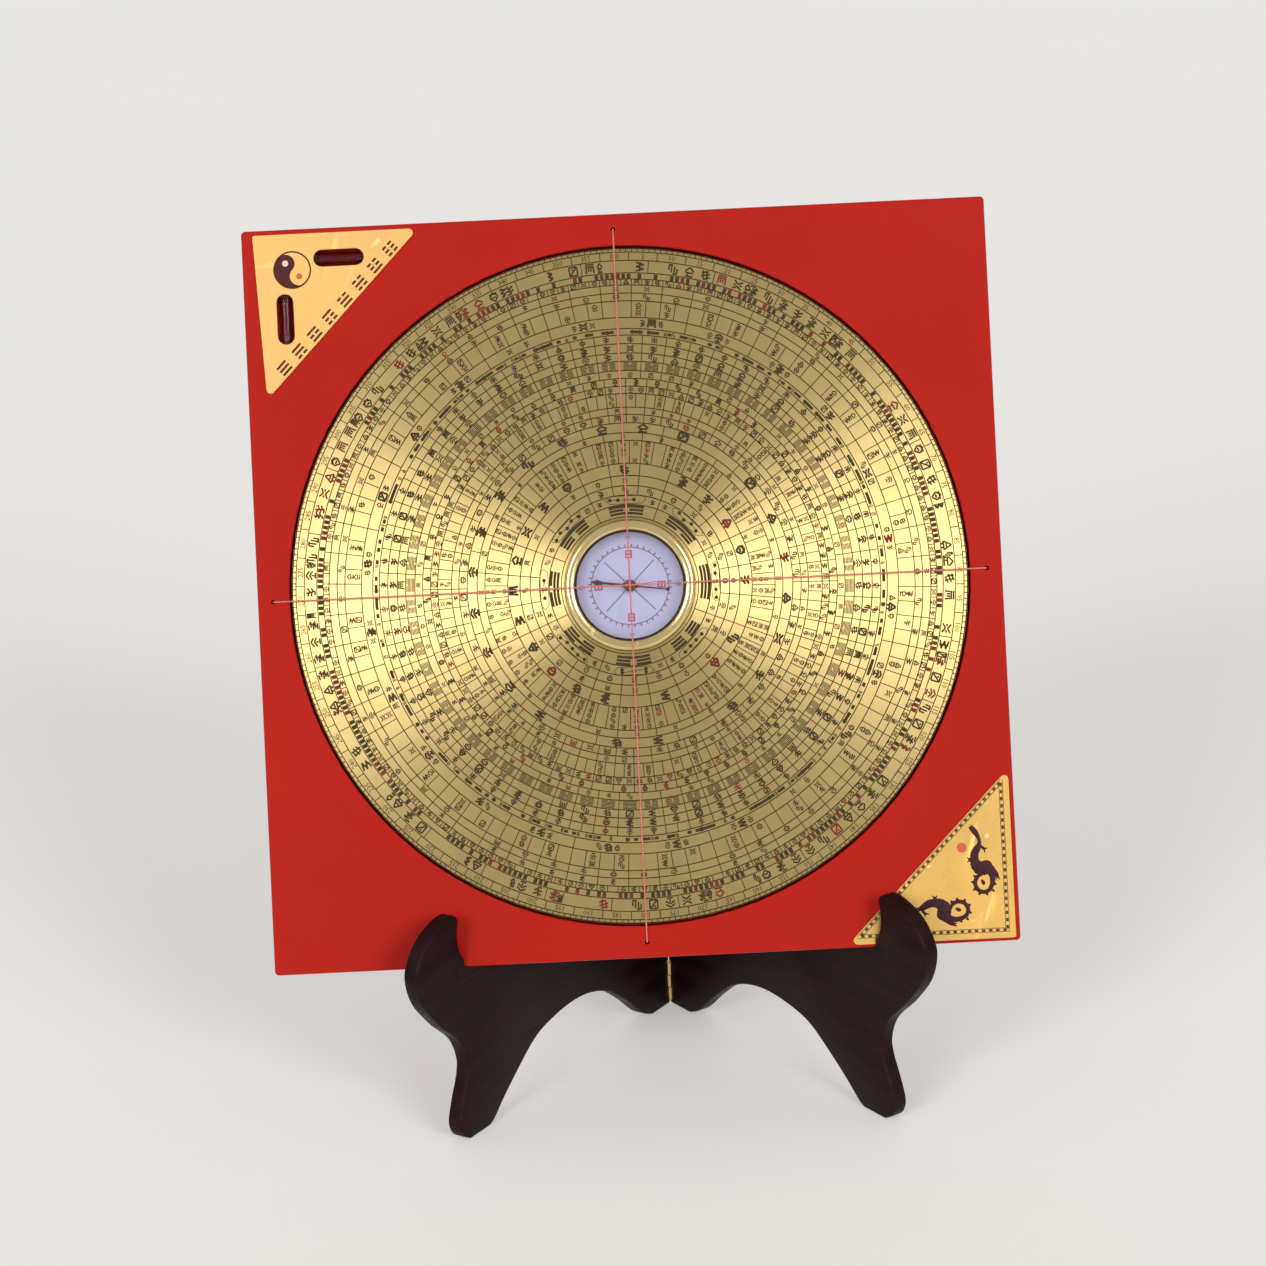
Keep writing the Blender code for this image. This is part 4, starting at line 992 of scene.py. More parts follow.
def printHexagrams():
    ring = dialPrint["hexagrams"]
    tree, given, sink, sockets = growTree("hexagramRing", {
        "Count": 64, "Inner": 0.08, "Step": 0.0005, "Wide": 0.005, "Bar": 0.0003, "Gap": 0.0007,
        "Ink": 0.00003, "Material": "Material",
    }, "Bars")
    index, nudge = indexOf(tree), dialPrint["nudge"]
    cell = maths(tree, "FLOOR", shared(tree, plus(tree, index, nudge), 6.0))
    row = minus(tree, index, times(tree, cell, 6.0))
    digit = shared(tree, plus(tree, cell, nudge), maths(tree, "POWER", 2.0, row))
    whole = maths(tree, "MODULO", maths(tree, "FLOOR", digit), 2.0)  # six rows count from 0 to 63
    turns = shared(tree, plus(tree, cell, 0.5), given["Count"])
    radius = maths(tree, "MULTIPLY_ADD", plus(tree, row, 0.5), given["Step"], given["Inner"])
    spot, facing = ringPlace(tree, radius, turns)
    half = times(tree, minus(tree, given["Wide"], given["Gap"]), 0.5)
    aside = times(tree, plus(tree, given["Wide"], given["Gap"]), 0.25)
    long, short = [
        block(tree, combined(tree, wide, given["Bar"], given["Ink"])) for wide in (given["Wide"], half)
    ]
    broken = tree.nodes.new("GeometryNodeJoinGeometry")
    for sign in (-1.0, 1.0):
        shift = combined(tree, times(tree, aside, sign))
        tree.links.new(transformed(tree, short, "Translation", shift), broken.inputs[0])
    count = times(tree, given["Count"], 6.0)
    endTree(tree, given, sink, [
        scattered(tree, count, spot, {"Instance": bar, "Selection": shown, "Rotation": facing})
        for shown, bar in ((whole, long), (minus(tree, 1.0, whole), broken.outputs[0]))
    ])
    values = {"Count": ring["count"], "Ink": dialPrint["ink"],
              **inMetres(ring, "inner", "step", "wide", "bar", "gap")}
    printOnDial("dial_hexagrams", tree, sockets, values, "darkInk")


trigrams = {
    "inner": 0.0273, "bar": 0.00095, "step": 0.00130, "wide": 26.0, "gap": 4.5, "steps": 10,
    "rows": [(1, 1, 1), (0, 1, 1), (1, 0, 1), (0, 0, 1), (1, 1, 0), (0, 1, 0), (1, 0, 0), (0, 0, 0)],
    "starRadius": 0.0329, "dot": 0.00075, "line": 0.00022, "frame": (0.0078, 0.0015), "shoulder": 0.8,
    "stars": [
        [(-6.2, 0), (-3.1, 0), (0, 0.6), (0, -0.6), (3.1, 0), (6.2, 0)],
        [(-4.7, 0.4), (-1.6, -0.4), (1.6, 0.4), (4.7, -0.4)],
        [(-6.2, 0), (-3.1, 0), (0, 0), (3.1, 0)],
        [(-6.2, -0.4), (-3.1, 0.4), (0, -0.4), (3.1, 0.4), (6.2, -0.4)],
        [(-3.4, 0), (0, 0.6), (3.4, 0), (0, -0.6)], [(-6.2, 0), (-3.1, 0.4), (0, 0), (3.1, -0.4), (6.2, 0)],
        [(-4.6, 0.6), (-4.6, -0.6), (0, 0), (4.6, 0.6), (4.6, -0.6)],
        [(-4.7, 0), (-1.6, 0), (1.6, 0), (4.7, 0)],
    ],
}


def printTrigrams():
    t = trigrams
    shape = bmesh.new()
    low, high = dialPrint["lift"], dialPrint["lift"] + dialPrint["ink"]
    half, gap = math.radians(t["wide"]) / 2, math.radians(t["gap"]) / 2
    wide, tall = t["frame"]
    inner = wide * t["shoulder"]
    corners = [(-wide, 0), (-inner, tall), (inner, tall), (wide, 0), (inner, -tall), (-inner, -tall)]
    for side, rows in enumerate(t["rows"]):
        middle = math.radians(side * 45)
        for row, solid in enumerate(rows):
            reach = t["inner"] + row * t["step"]
            for first, last in [(-half, half)] if solid else [(-half, -gap), (gap, half)]:
                addArc(shape, reach, reach + t["bar"], middle + first, middle + last, t["steps"], low, high)
        turned = Matrix.Rotation(middle - math.pi / 2, 2)

        def placed(spots):
            return [turned @ Vector((x, t["starRadius"] + y)) for x, y in spots]

        stars = placed([(x / 1000, y / 1000) for x, y in t["stars"][side]])
        for star in stars:
            addDot(shape, *star, t["dot"], low, high)
        frame = placed(corners + corners[:1])
        for start, end in [*zip(stars, stars[1:]), *zip(frame, frame[1:])]:
            addBar(shape, start, end, t["line"], low, high)
    showShape("dial_trigrams", shape, "darkInk", "dial", onDial)


print("dial print")
markKinds = {
    kind: library(kind + "Mark", [strokeMesh(kind + "Mark", rows, wide) for rows in drawn])
    for kind, drawn, wide in (
        ("fine", dialPrint["strokes"], dialPrint["stroke"]),
        ("bold", dialPrint["strokes"], dialPrint["boldStroke"]), ("solid", [dialPrint["solid"]], 1.0),
    )
}
digits = library("digit", digitMeshes())
markRing = buildMarkRing()
printLines()
printMarks("dial_marks_inner", "darkInk", False, 0, 14)
printMarks("dial_marks_outer", "darkInk", False, 14, len(dialPrint["rings"]))
printMarks("dial_marks_red", "redInk", True, 0, len(dialPrint["rings"]))
printNumbers()
printHexagrams()
printTrigrams()
for shelf in (*markKinds.values(), digits):
    for helper in list(shelf.objects):
        bpy.data.objects.remove(helper)
    bpy.data.collections.remove(shelf)


# the corner plate with the levels: a yin-yang and a row of eight trigrams

levelPlate = {
    "top": 0.0009, "lift": 0.00001, "ink": 0.00004,
    "yinYang": (-0.1238, 0.1272), "radius": 0.0073, "ring": 0.0006, "axis": -45, "eye": 0.0012,
    "row": ((-0.1315, 0.0865), (-0.0829, 0.1368)), "count": 8, "wide": 0.0048, "bar": 0.00085, "step": 0.0017,
    "gap": 0.0009, "seam": 0.0001, "steps": 64, "yinSteps": 24, "eyeSides": 20,
}


def halfYin(radius, steps):
    small = radius / 2
    turns = [math.pi * step / steps for step in range(steps + 1)]
    outline = [(-x, -y) for x, y in (polar(radius, turn) for turn in turns)]
    outline += [(small + x, -y) for x, y in (polar(small, turn) for turn in turns[1:])]
    return outline + [(-small + x, y) for x, y in (polar(small, turn) for turn in turns[1:-1])]


def decorateLevelPlate():
    p = levelPlate
    low, high = p["top"] + p["lift"], p["top"] + p["lift"] + p["ink"]
    turned = Matrix.Rotation(math.radians(p["axis"]), 4, "Z")
    turned = onBoard @ Matrix.Translation((*p["yinYang"], 0)) @ turned
    dark, pale, bright, row = [bmesh.new() for _ in range(4)]
    radius, small = p["radius"], p["radius"] / 2
    addArc(dark, radius - p["ring"], radius, 0, math.tau - p["seam"], p["steps"], low, high)
    addPrism(dark, halfYin(radius - p["ring"] / 2, p["yinSteps"]), low, high + p["lift"])
    addDot(pale, -small, 0, p["eye"], high, high + p["ink"], p["eyeSides"])
    addDot(bright, small, 0, p["eye"], low, high, p["eyeSides"])
    showShape("yin_yang_dark", dark, "maroonInk", "compass_board", turned)
    showShape("yin_yang_pale_eye", pale, "paleInk", "compass_board", turned)
    showShape("yin_yang_bright_eye", bright, "orangeInk", "compass_board", turned)
    start, end = Vector(p["row"][0]), Vector(p["row"][1])
    run = (end - start).normalized()
    over = Vector((-run.y, run.x))
    half, gap = run * p["wide"] / 2, run * p["gap"] / 2
    for index in range(p["count"]):
        spot = start + (end - start) * ((index + 0.5) / p["count"])
        for line, solid in enumerate(trigrams["rows"][index]):
            middle = spot + over * (line - 1) * p["step"]
            for first, last in [(-half, half)] if solid else [(-half, -gap), (gap, half)]:
                addBar(row, middle + first, middle + last, p["bar"], low, high)
    showShape("trigram_row", row, "maroonInk", "compass_board")


# the other corner plate: a checked band and two dragons round a sun, in low relief

dragonPlate = {
    "corner": (0.1412, -0.1418), "leg": 0.0645, "top": 0.0009, "lift": 0.00001, "ink": 0.00006,
    "band": 0.0031, "hypotenuseBand": 0.0034, "bandWide": 0.0014, "line": 0.00022, "square": 0.00135,
    "pitch": 0.0027, "trim": 0.4, "squareFlat": 0.72, "sun": (0.1220, -0.1066), "sunRadius": 0.0019,
    "sunSides": 24, "relief": 0.00035,
    # steps to each point, wall and crown as shares of the relief, and how much every second point widens
    "bodyCut": (5, 0.45, 0.55, 0.12), "strokeCut": (4, 0.35, 0.4, 0.0),
    "body": [(15.6, 43.2), (14.0, 41.2), (12.6, 38.6), (12.4, 36.6), (13.2, 34.8), (14.3, 32.8), (14.5, 30.4),
             (13.9, 28.4), (12.2, 27.0), (10.0, 26.8), (8.4, 25.6), (7.9, 23.6), (8.2, 20.8), (9.6, 18.5),
             (11.8, 17.9), (13.9, 19.1), (14.7, 21.5), (13.7, 23.8), (11.8, 24.6)],
    "bodyWide": [1.5, 2.1, 1.4, 1.4, 2.4, 2.9, 3.2, 4.2, 4.9, 4.8, 3.6, 2.3, 1.7, 1.5, 1.5, 1.5, 1.5, 1.4,
                 0.8],
    "strokes": [
        ([(13.2, 35.2), (11.6, 35.2), (10.4, 34.0)], [1.5, 1.2, 0.9]),
        ([(10.6, 34.2), (10.4, 32.8)], [0.8, 0.3]),
        ([(10.6, 34.4), (9.4, 34.6)], [0.8, 0.3]),
        ([(14.4, 31.2), (15.8, 30.4), (16.8, 30.4)], [2.0, 1.4, 0.9]),
        ([(16.4, 30.6), (17.4, 31.4)], [0.8, 0.3]), ([(16.4, 30.3), (17.3, 29.5)], [0.8, 0.3]),
        ([(8.8, 26.4), (7.0, 25.6), (5.9, 23.6)], [2.0, 1.6, 1.1]), ([(6.0, 23.8), (5.2, 22.4)], [0.9, 0.3]),
        ([(6.2, 23.8), (6.4, 22.4)], [0.9, 0.3]), ([(11.4, 28.8), (9.6, 29.2), (8.2, 28.4)], [1.8, 1.5, 0.9]),
        ([(12.8, 25.6), (14.6, 25.6)], [1.8, 0.9]), ([(7.4, 21.0), (6.6, 20.4)], [1.3, 0.5]),
        ([(8.2, 18.6), (7.5, 17.8)], [1.3, 0.5]), ([(10.4, 17.4), (10.1, 16.5)], [1.3, 0.5]),
        ([(13.0, 17.6), (13.5, 16.8)], [1.3, 0.5]), ([(14.8, 19.2), (15.6, 18.7)], [1.3, 0.5]),
        ([(15.3, 21.8), (16.2, 22.0)], [1.3, 0.5]), ([(14.4, 23.8), (15.2, 24.4)], [1.3, 0.5]),
        ([(12.2, 22.6), (11.6, 21.6), (11.4, 20.6)], [0.6, 1.5, 0.8]),
    ],
}


def buildCheckedBand():
    tree, given, sink, _ = growTree("checkedLine", {
        "Start": "Vector", "End": "Vector", "Count": 10, "Size": "Vector", "Turn": 0.0,
    }, "Squares")
    line = addNode(tree, "GeometryNodeMeshLine", {
        "Count": given["Count"], "Start Location": given["Start"], "Offset": given["End"],
    }, mode="END_POINTS")
    placed = addNode(tree, "GeometryNodeInstanceOnPoints", {
        "Points": line.outputs[0], "Instance": block(tree, given["Size"]),
        "Rotation": combined(tree, z=given["Turn"]),
    })
    return closeTree(tree, sink, placed.outputs[0])


def decorateDragonPlate():
    p = dragonPlate
    cornerX, cornerY = p["corner"]
    inset, slant = p["band"], p["hypotenuseBand"]
    far = p["leg"] - inset * (1 + math.sqrt(2)) - (slant - inset) * math.sqrt(2)
    right, foot = cornerX - inset, cornerY + inset
    corners = [(right, foot), (right, foot + far), (right - far, foot)]
    low, high = p["top"] + p["lift"], p["top"] + p["lift"] + p["ink"]
    checked = buildCheckedBand()
    tree, given, sink, sockets = growTree("checkedBand", {"Size": "Vector", "Material": "Material"}, "Band")
    parts = []
    lines, relief, sun = bmesh.new(), bmesh.new(), bmesh.new()
    for start, end in zip(corners, corners[1:] + corners[:1]):
        a, b = Vector((*start, 0)), Vector((*end, 0))
        run = (b - a).normalized()
        trim = run * p["pitch"] * p["trim"]
        parts.append(useGroup(tree, checked, {
            "Start": a + trim, "End": b - trim, "Count": round((b - a).length / p["pitch"]),
            "Size": given["Size"], "Turn": math.atan2(run.y, run.x),
        }))
        side, more = Vector((-run.y, run.x)) * p["bandWide"] / 2, run.xy * p["bandWide"] * 0.5
        addBar(lines, a.xy + side + more, b.xy + side - more, p["line"], low, high)
        addBar(lines, a.xy - side - more, b.xy - side + more, p["line"], low, high)
    endTree(tree, given, sink, parts)
    values = {"Size": (p["square"], p["square"] * p["squareFlat"], p["ink"])}
    place = onBoard @ Matrix.Translation((0, 0, low + p["ink"] / 2))
    mesh = grown("checked_band", tree, sockets, values, "oliveInk", place)
    showPiece("checked_band", mesh, "oliveInk", "compass_board")
    showShape("band_lines", lines, "oliveInk", "compass_board")
    ribbons = [(p["body"], p["bodyWide"], p["bodyCut"])]
    ribbons += [(points, widths, p["strokeCut"]) for points, widths in p["strokes"]]
    for order in (1, -1):  # the second dragon is the first one mirrored
        for points, widths, (steps, wall, crown, scales) in ribbons:
            spots = [spot[::order] for spot in points]
            line = smoothLine([(cornerX - u / 1000, cornerY + v / 1000) for u, v in spots], steps)
            thick = smoothLine([(width, 0) for width in widths], steps)
            widths = [width.x / 1000 * (1.0 + scales * (index % 2)) for index, width in enumerate(thick)]
            addRibbon(relief, line, widths, low, low + p["relief"] * wall, p["relief"] * crown)
    showShape("dragons", relief, "dragonInk", "compass_board", smooth=60)
    addDot(sun, *p["sun"], p["sunRadius"], low, high, p["sunSides"])
    showShape("sun", sun, "orangeInk", "compass_board")


print("corner plates")
decorateLevelPlate()
decorateDragonPlate()


# the compass capsule: bezel, seal, glass and the card's print

capsule = {
    "facets": 128, "bezelOuter": 0.02535, "bezelInner": 0.0214, "bezelFoot": -0.0017, "lipDrop": 0.0009,
    "bore": 0.0232, "skirtRadius": 0.0242, "skirtFoot": -0.0042, "lipRound": 0.00065,
    # the seal's inner edge is set wider than a seal alone needs, so its dark ring also stands for the shadow
    # under the bezel's lip: painted shade in part
    "sealAndShadowInner": 0.0205, "sealOuter": 0.0229, "sealLow": -0.0018, "sealHigh": -0.0012,
    "glassRadius": 0.0229, "glassLow": -0.0035, "glassHigh": -0.0021, "glassEase": 0.00025,
    "cardTop": -0.0080, "lift": 0.00001, "ink": 0.00003, "ring": 0.0149, "ringLine": 0.00038,
    "ticks": 40, "tickNear": 0.0151, "tickFar": 0.0161, "tick": 0.00055, "diagonal": (0.0026, 0.0135),
    "diagonalLine": 0.00042, "square": 0.0122, "squareSize": 0.0026, "outer": 0.0185, "seam": 0.0001,
    "ringSteps": 96, "bezelSteps": 10, "squareLine": 0.22, "outerLine": 0.176, "pointerLine": 0.0003,
    "squareBars": ((-1, 1, 1, 1), (-1, -1, 1, -1), (-1, 0, 1, 0), (-0.8, 1, -0.8, -1), (0.8, 1, 0.8, -1)),
    "outerBars": ((0, -0.9, 0, 0.9), (-0.7, -0.2, 0, 0.9), (0.7, -0.2, 0, 0.9)),
    "pointers": ((0, 0.0028, 0, 0.0104), (0, -0.0028, 0, -0.0104), (0.0028, 0.0004, 0.0104, 0.0012)),
}


def makeBezel():
    c = capsule
    crown, half = (c["bezelOuter"] + c["bezelInner"]) / 2, (c["bezelOuter"] - c["bezelInner"]) / 2
    turns = [quarter * step / c["bezelSteps"] for step in range(c["bezelSteps"] + 1)]
    profile = [(crown + half * math.cos(turn), c["bezelFoot"] * (1 - math.sin(turn))) for turn in turns]
    profile += [(crown - half * math.sin(turn), -c["lipRound"] * (1 - math.cos(turn))) for turn in turns[1:]]
    profile += [(c["bezelInner"], -c["lipDrop"]), (c["bore"], -c["lipDrop"]), (c["bore"], c["skirtFoot"]),
                (c["skirtRadius"], c["skirtFoot"]), (c["skirtRadius"], c["bezelFoot"])]
    mesh = turnedMesh("bezel", profile, c["facets"], True, onBoard, 40)
    showPiece("bezel", mesh, "bezelBrass", "dial", ["bezel_ring"])
    # The seal shows 0.9 mm inside the bezel's lip. That dark ring is the real seal, widened to stand in part
    # for the shadow under the lip: painted shade.
    low, high = c["sealLow"], c["sealHigh"]
    inner, outer, ease = c["sealAndShadowInner"], c["sealOuter"], (high - low) / 3
    profile = [(inner, low + ease), (inner + ease, low), (outer, low), (outer, high), (inner + ease, high),
               (inner, high - ease)]
    mesh = turnedMesh("seal", profile, c["facets"], True, onBoard, 50)
    showPiece("seal", mesh, "blackRubber", "dial", ["glass_gasket"])
    low, high, radius, ease = c["glassLow"], c["glassHigh"], c["glassRadius"], c["glassEase"]
    profile = [(0, low), (radius - ease, low), (radius, low + ease), (radius, high - ease),
               (radius - ease, high), (0, high)]
    mesh = turnedMesh("glass", profile, c["facets"], False, onBoard)
    showPiece("glass", mesh, "clearGlass", "dial", ["glass_lens"])


def printCard():
    c = capsule
    low, high = c["cardTop"] + c["lift"], c["cardTop"] + c["lift"] + c["ink"]
    grey, red, violet = bmesh.new(), bmesh.new(), bmesh.new()
    inner, outer = c["ring"] - c["ringLine"] / 2, c["ring"] + c["ringLine"] / 2
    addArc(grey, inner, outer, 0, math.tau - c["seam"], c["ringSteps"], low, high)
    for turn in around(4, 0.5):
        addBar(grey, *[polar(radius, turn) for radius in c["diagonal"]], c["diagonalLine"], low, high)
    for index, turn in enumerate(around(c["ticks"], 0.5)):
        near, far = polar(c["tickNear"], turn), polar(c["tickFar"], turn)
        addBar(grey if index % 2 else red, near, far, c["tick"], low, high)
    half = c["squareSize"] / 2
    for turn in around(4):
        turned = Matrix.Rotation(turn, 2)
        for shape, reach, line, top, bars in (
            (red, c["square"], c["squareLine"], high + c["ink"], c["squareBars"]),
            (violet, c["outer"], c["outerLine"], high, c["outerBars"]),
        ):
            for x, y, toX, toY in bars:
                start, end = Vector((half * x, half * y + reach)), Vector((half * toX, half * toY + reach))
                addBar(shape, turned @ start, turned @ end, c["squareSize"] * line, low, top)
    for x, y, toX, toY in c["pointers"]:
        addBar(red, (x, y), (toX, toY), c["pointerLine"], low, high)
    for name, shape in (("grey", grey), ("red", red), ("violet", violet)):
        showShape("card_print_" + name, shape, "card" + name.capitalize(), "dial")


# the sighting threads: two strands laid round each other, knotted behind the board at both ends

threads = {
    "radius": 0.00035, "strand": 0.00021, "pitch": 0.0019, "sides": 6, "turnSteps": 8,
    "hole": 0.137, "holeRadius": 0.0009, "rise": 0.00065, "over": 0.00165, "knotTop": -0.0146,
    "knotLength": 0.0013, "knotRadius": 0.00105, "knotWraps": 3, "knotSteps": 20, "knotSwell": (0.55, 0.45),
    "knotSpan": (0.15, 0.7), "ripple": 0.00012, "knotStrand": 1.05, "knotSides": 8, "coreSides": 12,
    "bend": ((2.0, 1.0), (0.7, 1.0), (0.1, 0.5)), "core": ((-0.1, 1.0), (0.3, 2.4), (0.7, 2.4), (0.95, 1.0)),
}


def sweep(shape, points, radius, sides):
    rings = []
    normal = (points[1] - points[0]).normalized().orthogonal().normalized()
    for index, point in enumerate(points):
        run = (points[min(index + 1, len(points) - 1)] - points[max(index - 1, 0)]).normalized()
        normal = (normal - run * normal.dot(run)).normalized()
        other = run.cross(normal)
        own = radius[index] if isinstance(radius, list) else radius
        spots = [(normal * math.cos(turn) + other * math.sin(turn)) * own for turn in around(sides)]
        rings.append([shape.verts.new(point + spot) for spot in spots])
    loft(shape, rings)


def evenly(route, step):
    spots, travelled = [route[0]], 0.0
    for start, end in zip(route, route[1:]):
        length = (end - start).length
        while length and travelled + length >= step:
            start = start + (end - start).normalized() * (step - travelled)
            spots.append(start)
            length = (end - start).length
            travelled = 0.0
        travelled += length
    return spots


def threadRoute(middleRise):
    t = threads
    hole, bend = t["hole"], t["holeRadius"]
    side = [(0, middleRise)] + [(hole - bend * back, t["rise"] * up) for back, up in t["bend"]]
    side += [(hole, -bend), (hole, t["knotTop"])]
    route = [Vector((-reach, 0, height)) for reach, height in reversed(side)]
    return route + [Vector((reach, 0, height)) for reach, height in side[1:]]


def makeThread(name, middleRise, turn):
    t = threads
    spots = evenly(threadRoute(middleRise), t["pitch"] / t["turnSteps"])
    shape = bmesh.new()
    for strand in (0, 1):
        points, normal = [], Vector((0, 1, 0))
        for index, spot in enumerate(spots):
            run = (spots[min(index + 1, len(spots) - 1)] - spots[max(index - 1, 0)]).normalized()
            angle = math.tau * index / t["turnSteps"] + math.pi * strand
            aside = normal * math.cos(angle) + run.cross(normal) * math.sin(angle)
            points.append(spot + aside * (t["radius"] - t["strand"]))
        sweep(shape, points, t["strand"], t["sides"])
    for side in (-1, 1):
        knot, steps = [], t["knotWraps"] * t["knotSteps"]
        slim, swell = t["knotSwell"]
        start, long = t["knotSpan"]
        for index in range(steps + 1):
            share, angle = index / steps, math.tau * index / t["knotSteps"]
            x, y = polar(t["knotRadius"] * (slim + swell * math.sin(math.pi * share)), angle)
            height = t["ripple"] * math.sin(2 * angle) - t["knotLength"] * (start + long * share)
            knot.append(Vector((side * t["hole"] + x, y, t["knotTop"] + height)))
        sweep(shape, knot, t["radius"] * t["knotStrand"], t["knotSides"])
        heights = [t["knotTop"] - t["knotLength"] * share for share, _ in t["core"]]
        core = [Vector((side * t["hole"], 0, height)) for height in heights]
        sweep(shape, core, [t["radius"] * wide for _, wide in t["core"]], t["coreSides"])
    mesh = meshFrom(name, shape, onBoard @ Matrix.Rotation(turn, 4, "Z"), 60)
    showPiece(name + "_twisted", mesh, "redThread", "compass_board", [name])


# the two spirit levels

levels = {"facets": 32, "radius": 0.0029, "wall": 0.0008, "half": 0.0082, "fillHalf": 0.0064, "fill": 0.0018,
          "bubbleHalf": 0.0024, "bubble": 0.0011, "ease": 0.0002, "bubbleSunk": 0.0001, "bubbleSegments": 24,
          "bubbleRings": 16}


def makeLevel(name, turn):
    v = levels
    spot = onBoard.to_3x3().to_4x4() @ Matrix.Rotation(turn, 4, "Z")
    spot = Matrix.Translation(middleOf(name + "_tube")) @ spot
    lying = Matrix.Rotation(quarter, 4, "Y")
    bore, radius, half, ease = v["radius"] - v["wall"], v["radius"], v["half"], v["ease"]
    profile = [(bore, -half), (radius - ease, -half), (radius, -half + ease), (radius, half - ease),
               (radius - ease, half), (bore, half)]
    mesh = turnedMesh(name + "_glass", profile, v["facets"], True, spot @ lying)
    showPiece(name + "_glass", mesh, "tubeGlass", "compass_board", [name + "_tube"])
    fill = linked("fill", turnedMesh("fill", rod(v["fill"], -v["fillHalf"], v["fillHalf"]), v["facets"]))
    fill.matrix_world = lying
    bubble = bmesh.new()
    bmesh.ops.create_uvsphere(
        bubble, u_segments=v["bubbleSegments"], v_segments=v["bubbleRings"], radius=v["bubble"],
    )
    for vert in bubble.verts:
        x, y, z = vert.co
        vert.co = (x * v["bubbleHalf"] / v["bubble"], y, z + v["fill"] - v["bubbleSunk"])
    mesh = finished(fill, cutFrom(fill, meshFrom("bubble", bubble)))
    mesh.transform(lying)
    mesh = meshFrom(name + "_wine", shapeOf(mesh), spot)
    showPiece(name + "_wine", mesh, "wineLiquid", "compass_board", [name + "_liquid"])


# hinge screws, four in each wing

screws = {"facets": 20, "head": 0.00125, "sink": 0.0001, "headDepth": 0.0006, "radius": 0.00065,
          "length": 0.0074, "tip": 0.0010, "slotWide": 0.00034, "slotDeep": 0.0003, "row": 0.0037,
          "ease": 0.00006, "root": 0.78, "ridges": 6, "ridgeStart": 0.0022, "ridgePitch": 0.0007,
          "slotReach": 1.2, "slotTop": -0.001}


def screwMesh():
    s = screws
    profile = [(0, s["sink"]), (s["head"] - s["ease"], s["sink"]), (s["head"], s["sink"] + s["ease"]),
               (s["radius"], s["sink"] + s["headDepth"])]
    root = s["radius"] * s["root"]
    for index in range(s["ridges"]):
        height = s["ridgeStart"] + index * s["ridgePitch"]
        profile += [(root, height), (s["radius"], height + s["ridgePitch"] / 2)]
    profile += [(root, s["length"] - s["tip"]), (0, s["length"])]
    blank = linked("blank", turnedMesh("blank", profile, s["facets"]))
    slot = bmesh.new()
    outline = rectangle(s["head"] * s["slotReach"], s["slotWide"] / 2)
    addPrism(slot, outline, s["slotTop"], s["sink"] + s["slotDeep"])
    return finished(blank, cutFrom(blank, meshFrom("slot", slot)))


def buildScrewRow():
    tree, given, sink, sockets = growTree("hingeScrews", {
        "Low": 0.01, "High": 0.1, "Spacing": 0.0092, "Depth": 0.0037, "Screw": "Object", "Seed": 3,
        "Material": "Material",
    }, "Screws")
    index = indexOf(tree)
    upper, second = maths(tree, "GREATER_THAN", index, 1.5), maths(tree, "MODULO", index, 2.0)
    gap = minus(tree, given["High"], given["Low"])
    height = maths(tree, "MULTIPLY_ADD", upper, gap, given["Low"])
    height = maths(tree, "MULTIPLY_ADD", minus(tree, second, 0.5), given["Spacing"], height)
    screw = addNode(tree, "GeometryNodeObjectInfo", {"Object": given["Screw"], "As Instance": True})
    placed = scattered(tree, 4, combined(tree, y=given["Depth"], z=height), {
        "Instance": screw.outputs["Geometry"], "Rotation": combined(tree, y=quarter),
    })
    axis = combined(tree, z=randomOf(tree, "FLOAT", given["Seed"], 0.0, math.pi))
    turned = addNode(tree, "GeometryNodeRotateInstances", {"Instances": placed, "Rotation": axis})
    endTree(tree, given, sink, [turned.outputs[0]])
    return tree, sockets


def makeScrews():
    helper = linked("screw", screwMesh())
    tree, sockets = buildScrewRow()
    heights = ("lower", "upper")
    lower, upper = [sum(corner.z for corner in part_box(height + "_hinge_pin")) / 2 for height in heights]
    for side, word, seed in ((-1, "left", 3), (1, "right", 8)):
        values = {"Low": lower, "High": upper, "Depth": side * screws["row"], "Screw": helper, "Seed": seed}
        mesh = grown("screws_" + word, tree, sockets, values, "polishedBrass", wingFrame(side))
        nodes = [f"{height}_hinge_screw_{word}_{end}" for height in heights for end in ("low", "high")]
        showPiece("hinge_screws_" + word, mesh, "polishedBrass", "stand_" + word, nodes)
    bpy.data.objects.remove(helper)


print("capsule, threads, levels and screws")
makeBezel()
printCard()
makeThread("thread_vertical", threads["rise"], quarter)
makeThread("thread_horizontal", threads["over"], 0)
makeLevel("level_across", 0)
makeLevel("level_upright", quarter)
makeScrews()


# floor, lights and camera

view = {
    "rise": 18.8, "away": 1.5, "lens": 110.55, "roll": 2.76, "aimDown": 0.0182, "aimRight": 0.00115,
    "floor": 9.0, "floorThick": 0.01, "floorLift": 0.38, "floorColour": (0.82, 0.81, 0.79),
    "floorShade": 0.97, "floorCloud": 1.5, "backColour": (0.90, 0.89, 0.87), "glossyShare": 0.42,
    "soft": (1.0, 0.99, 0.97), "softPower": 0.30, "sunAside": 31, "sunAbove": 24,
    "sunAngle": 24, "sunPower": 1.12,
}


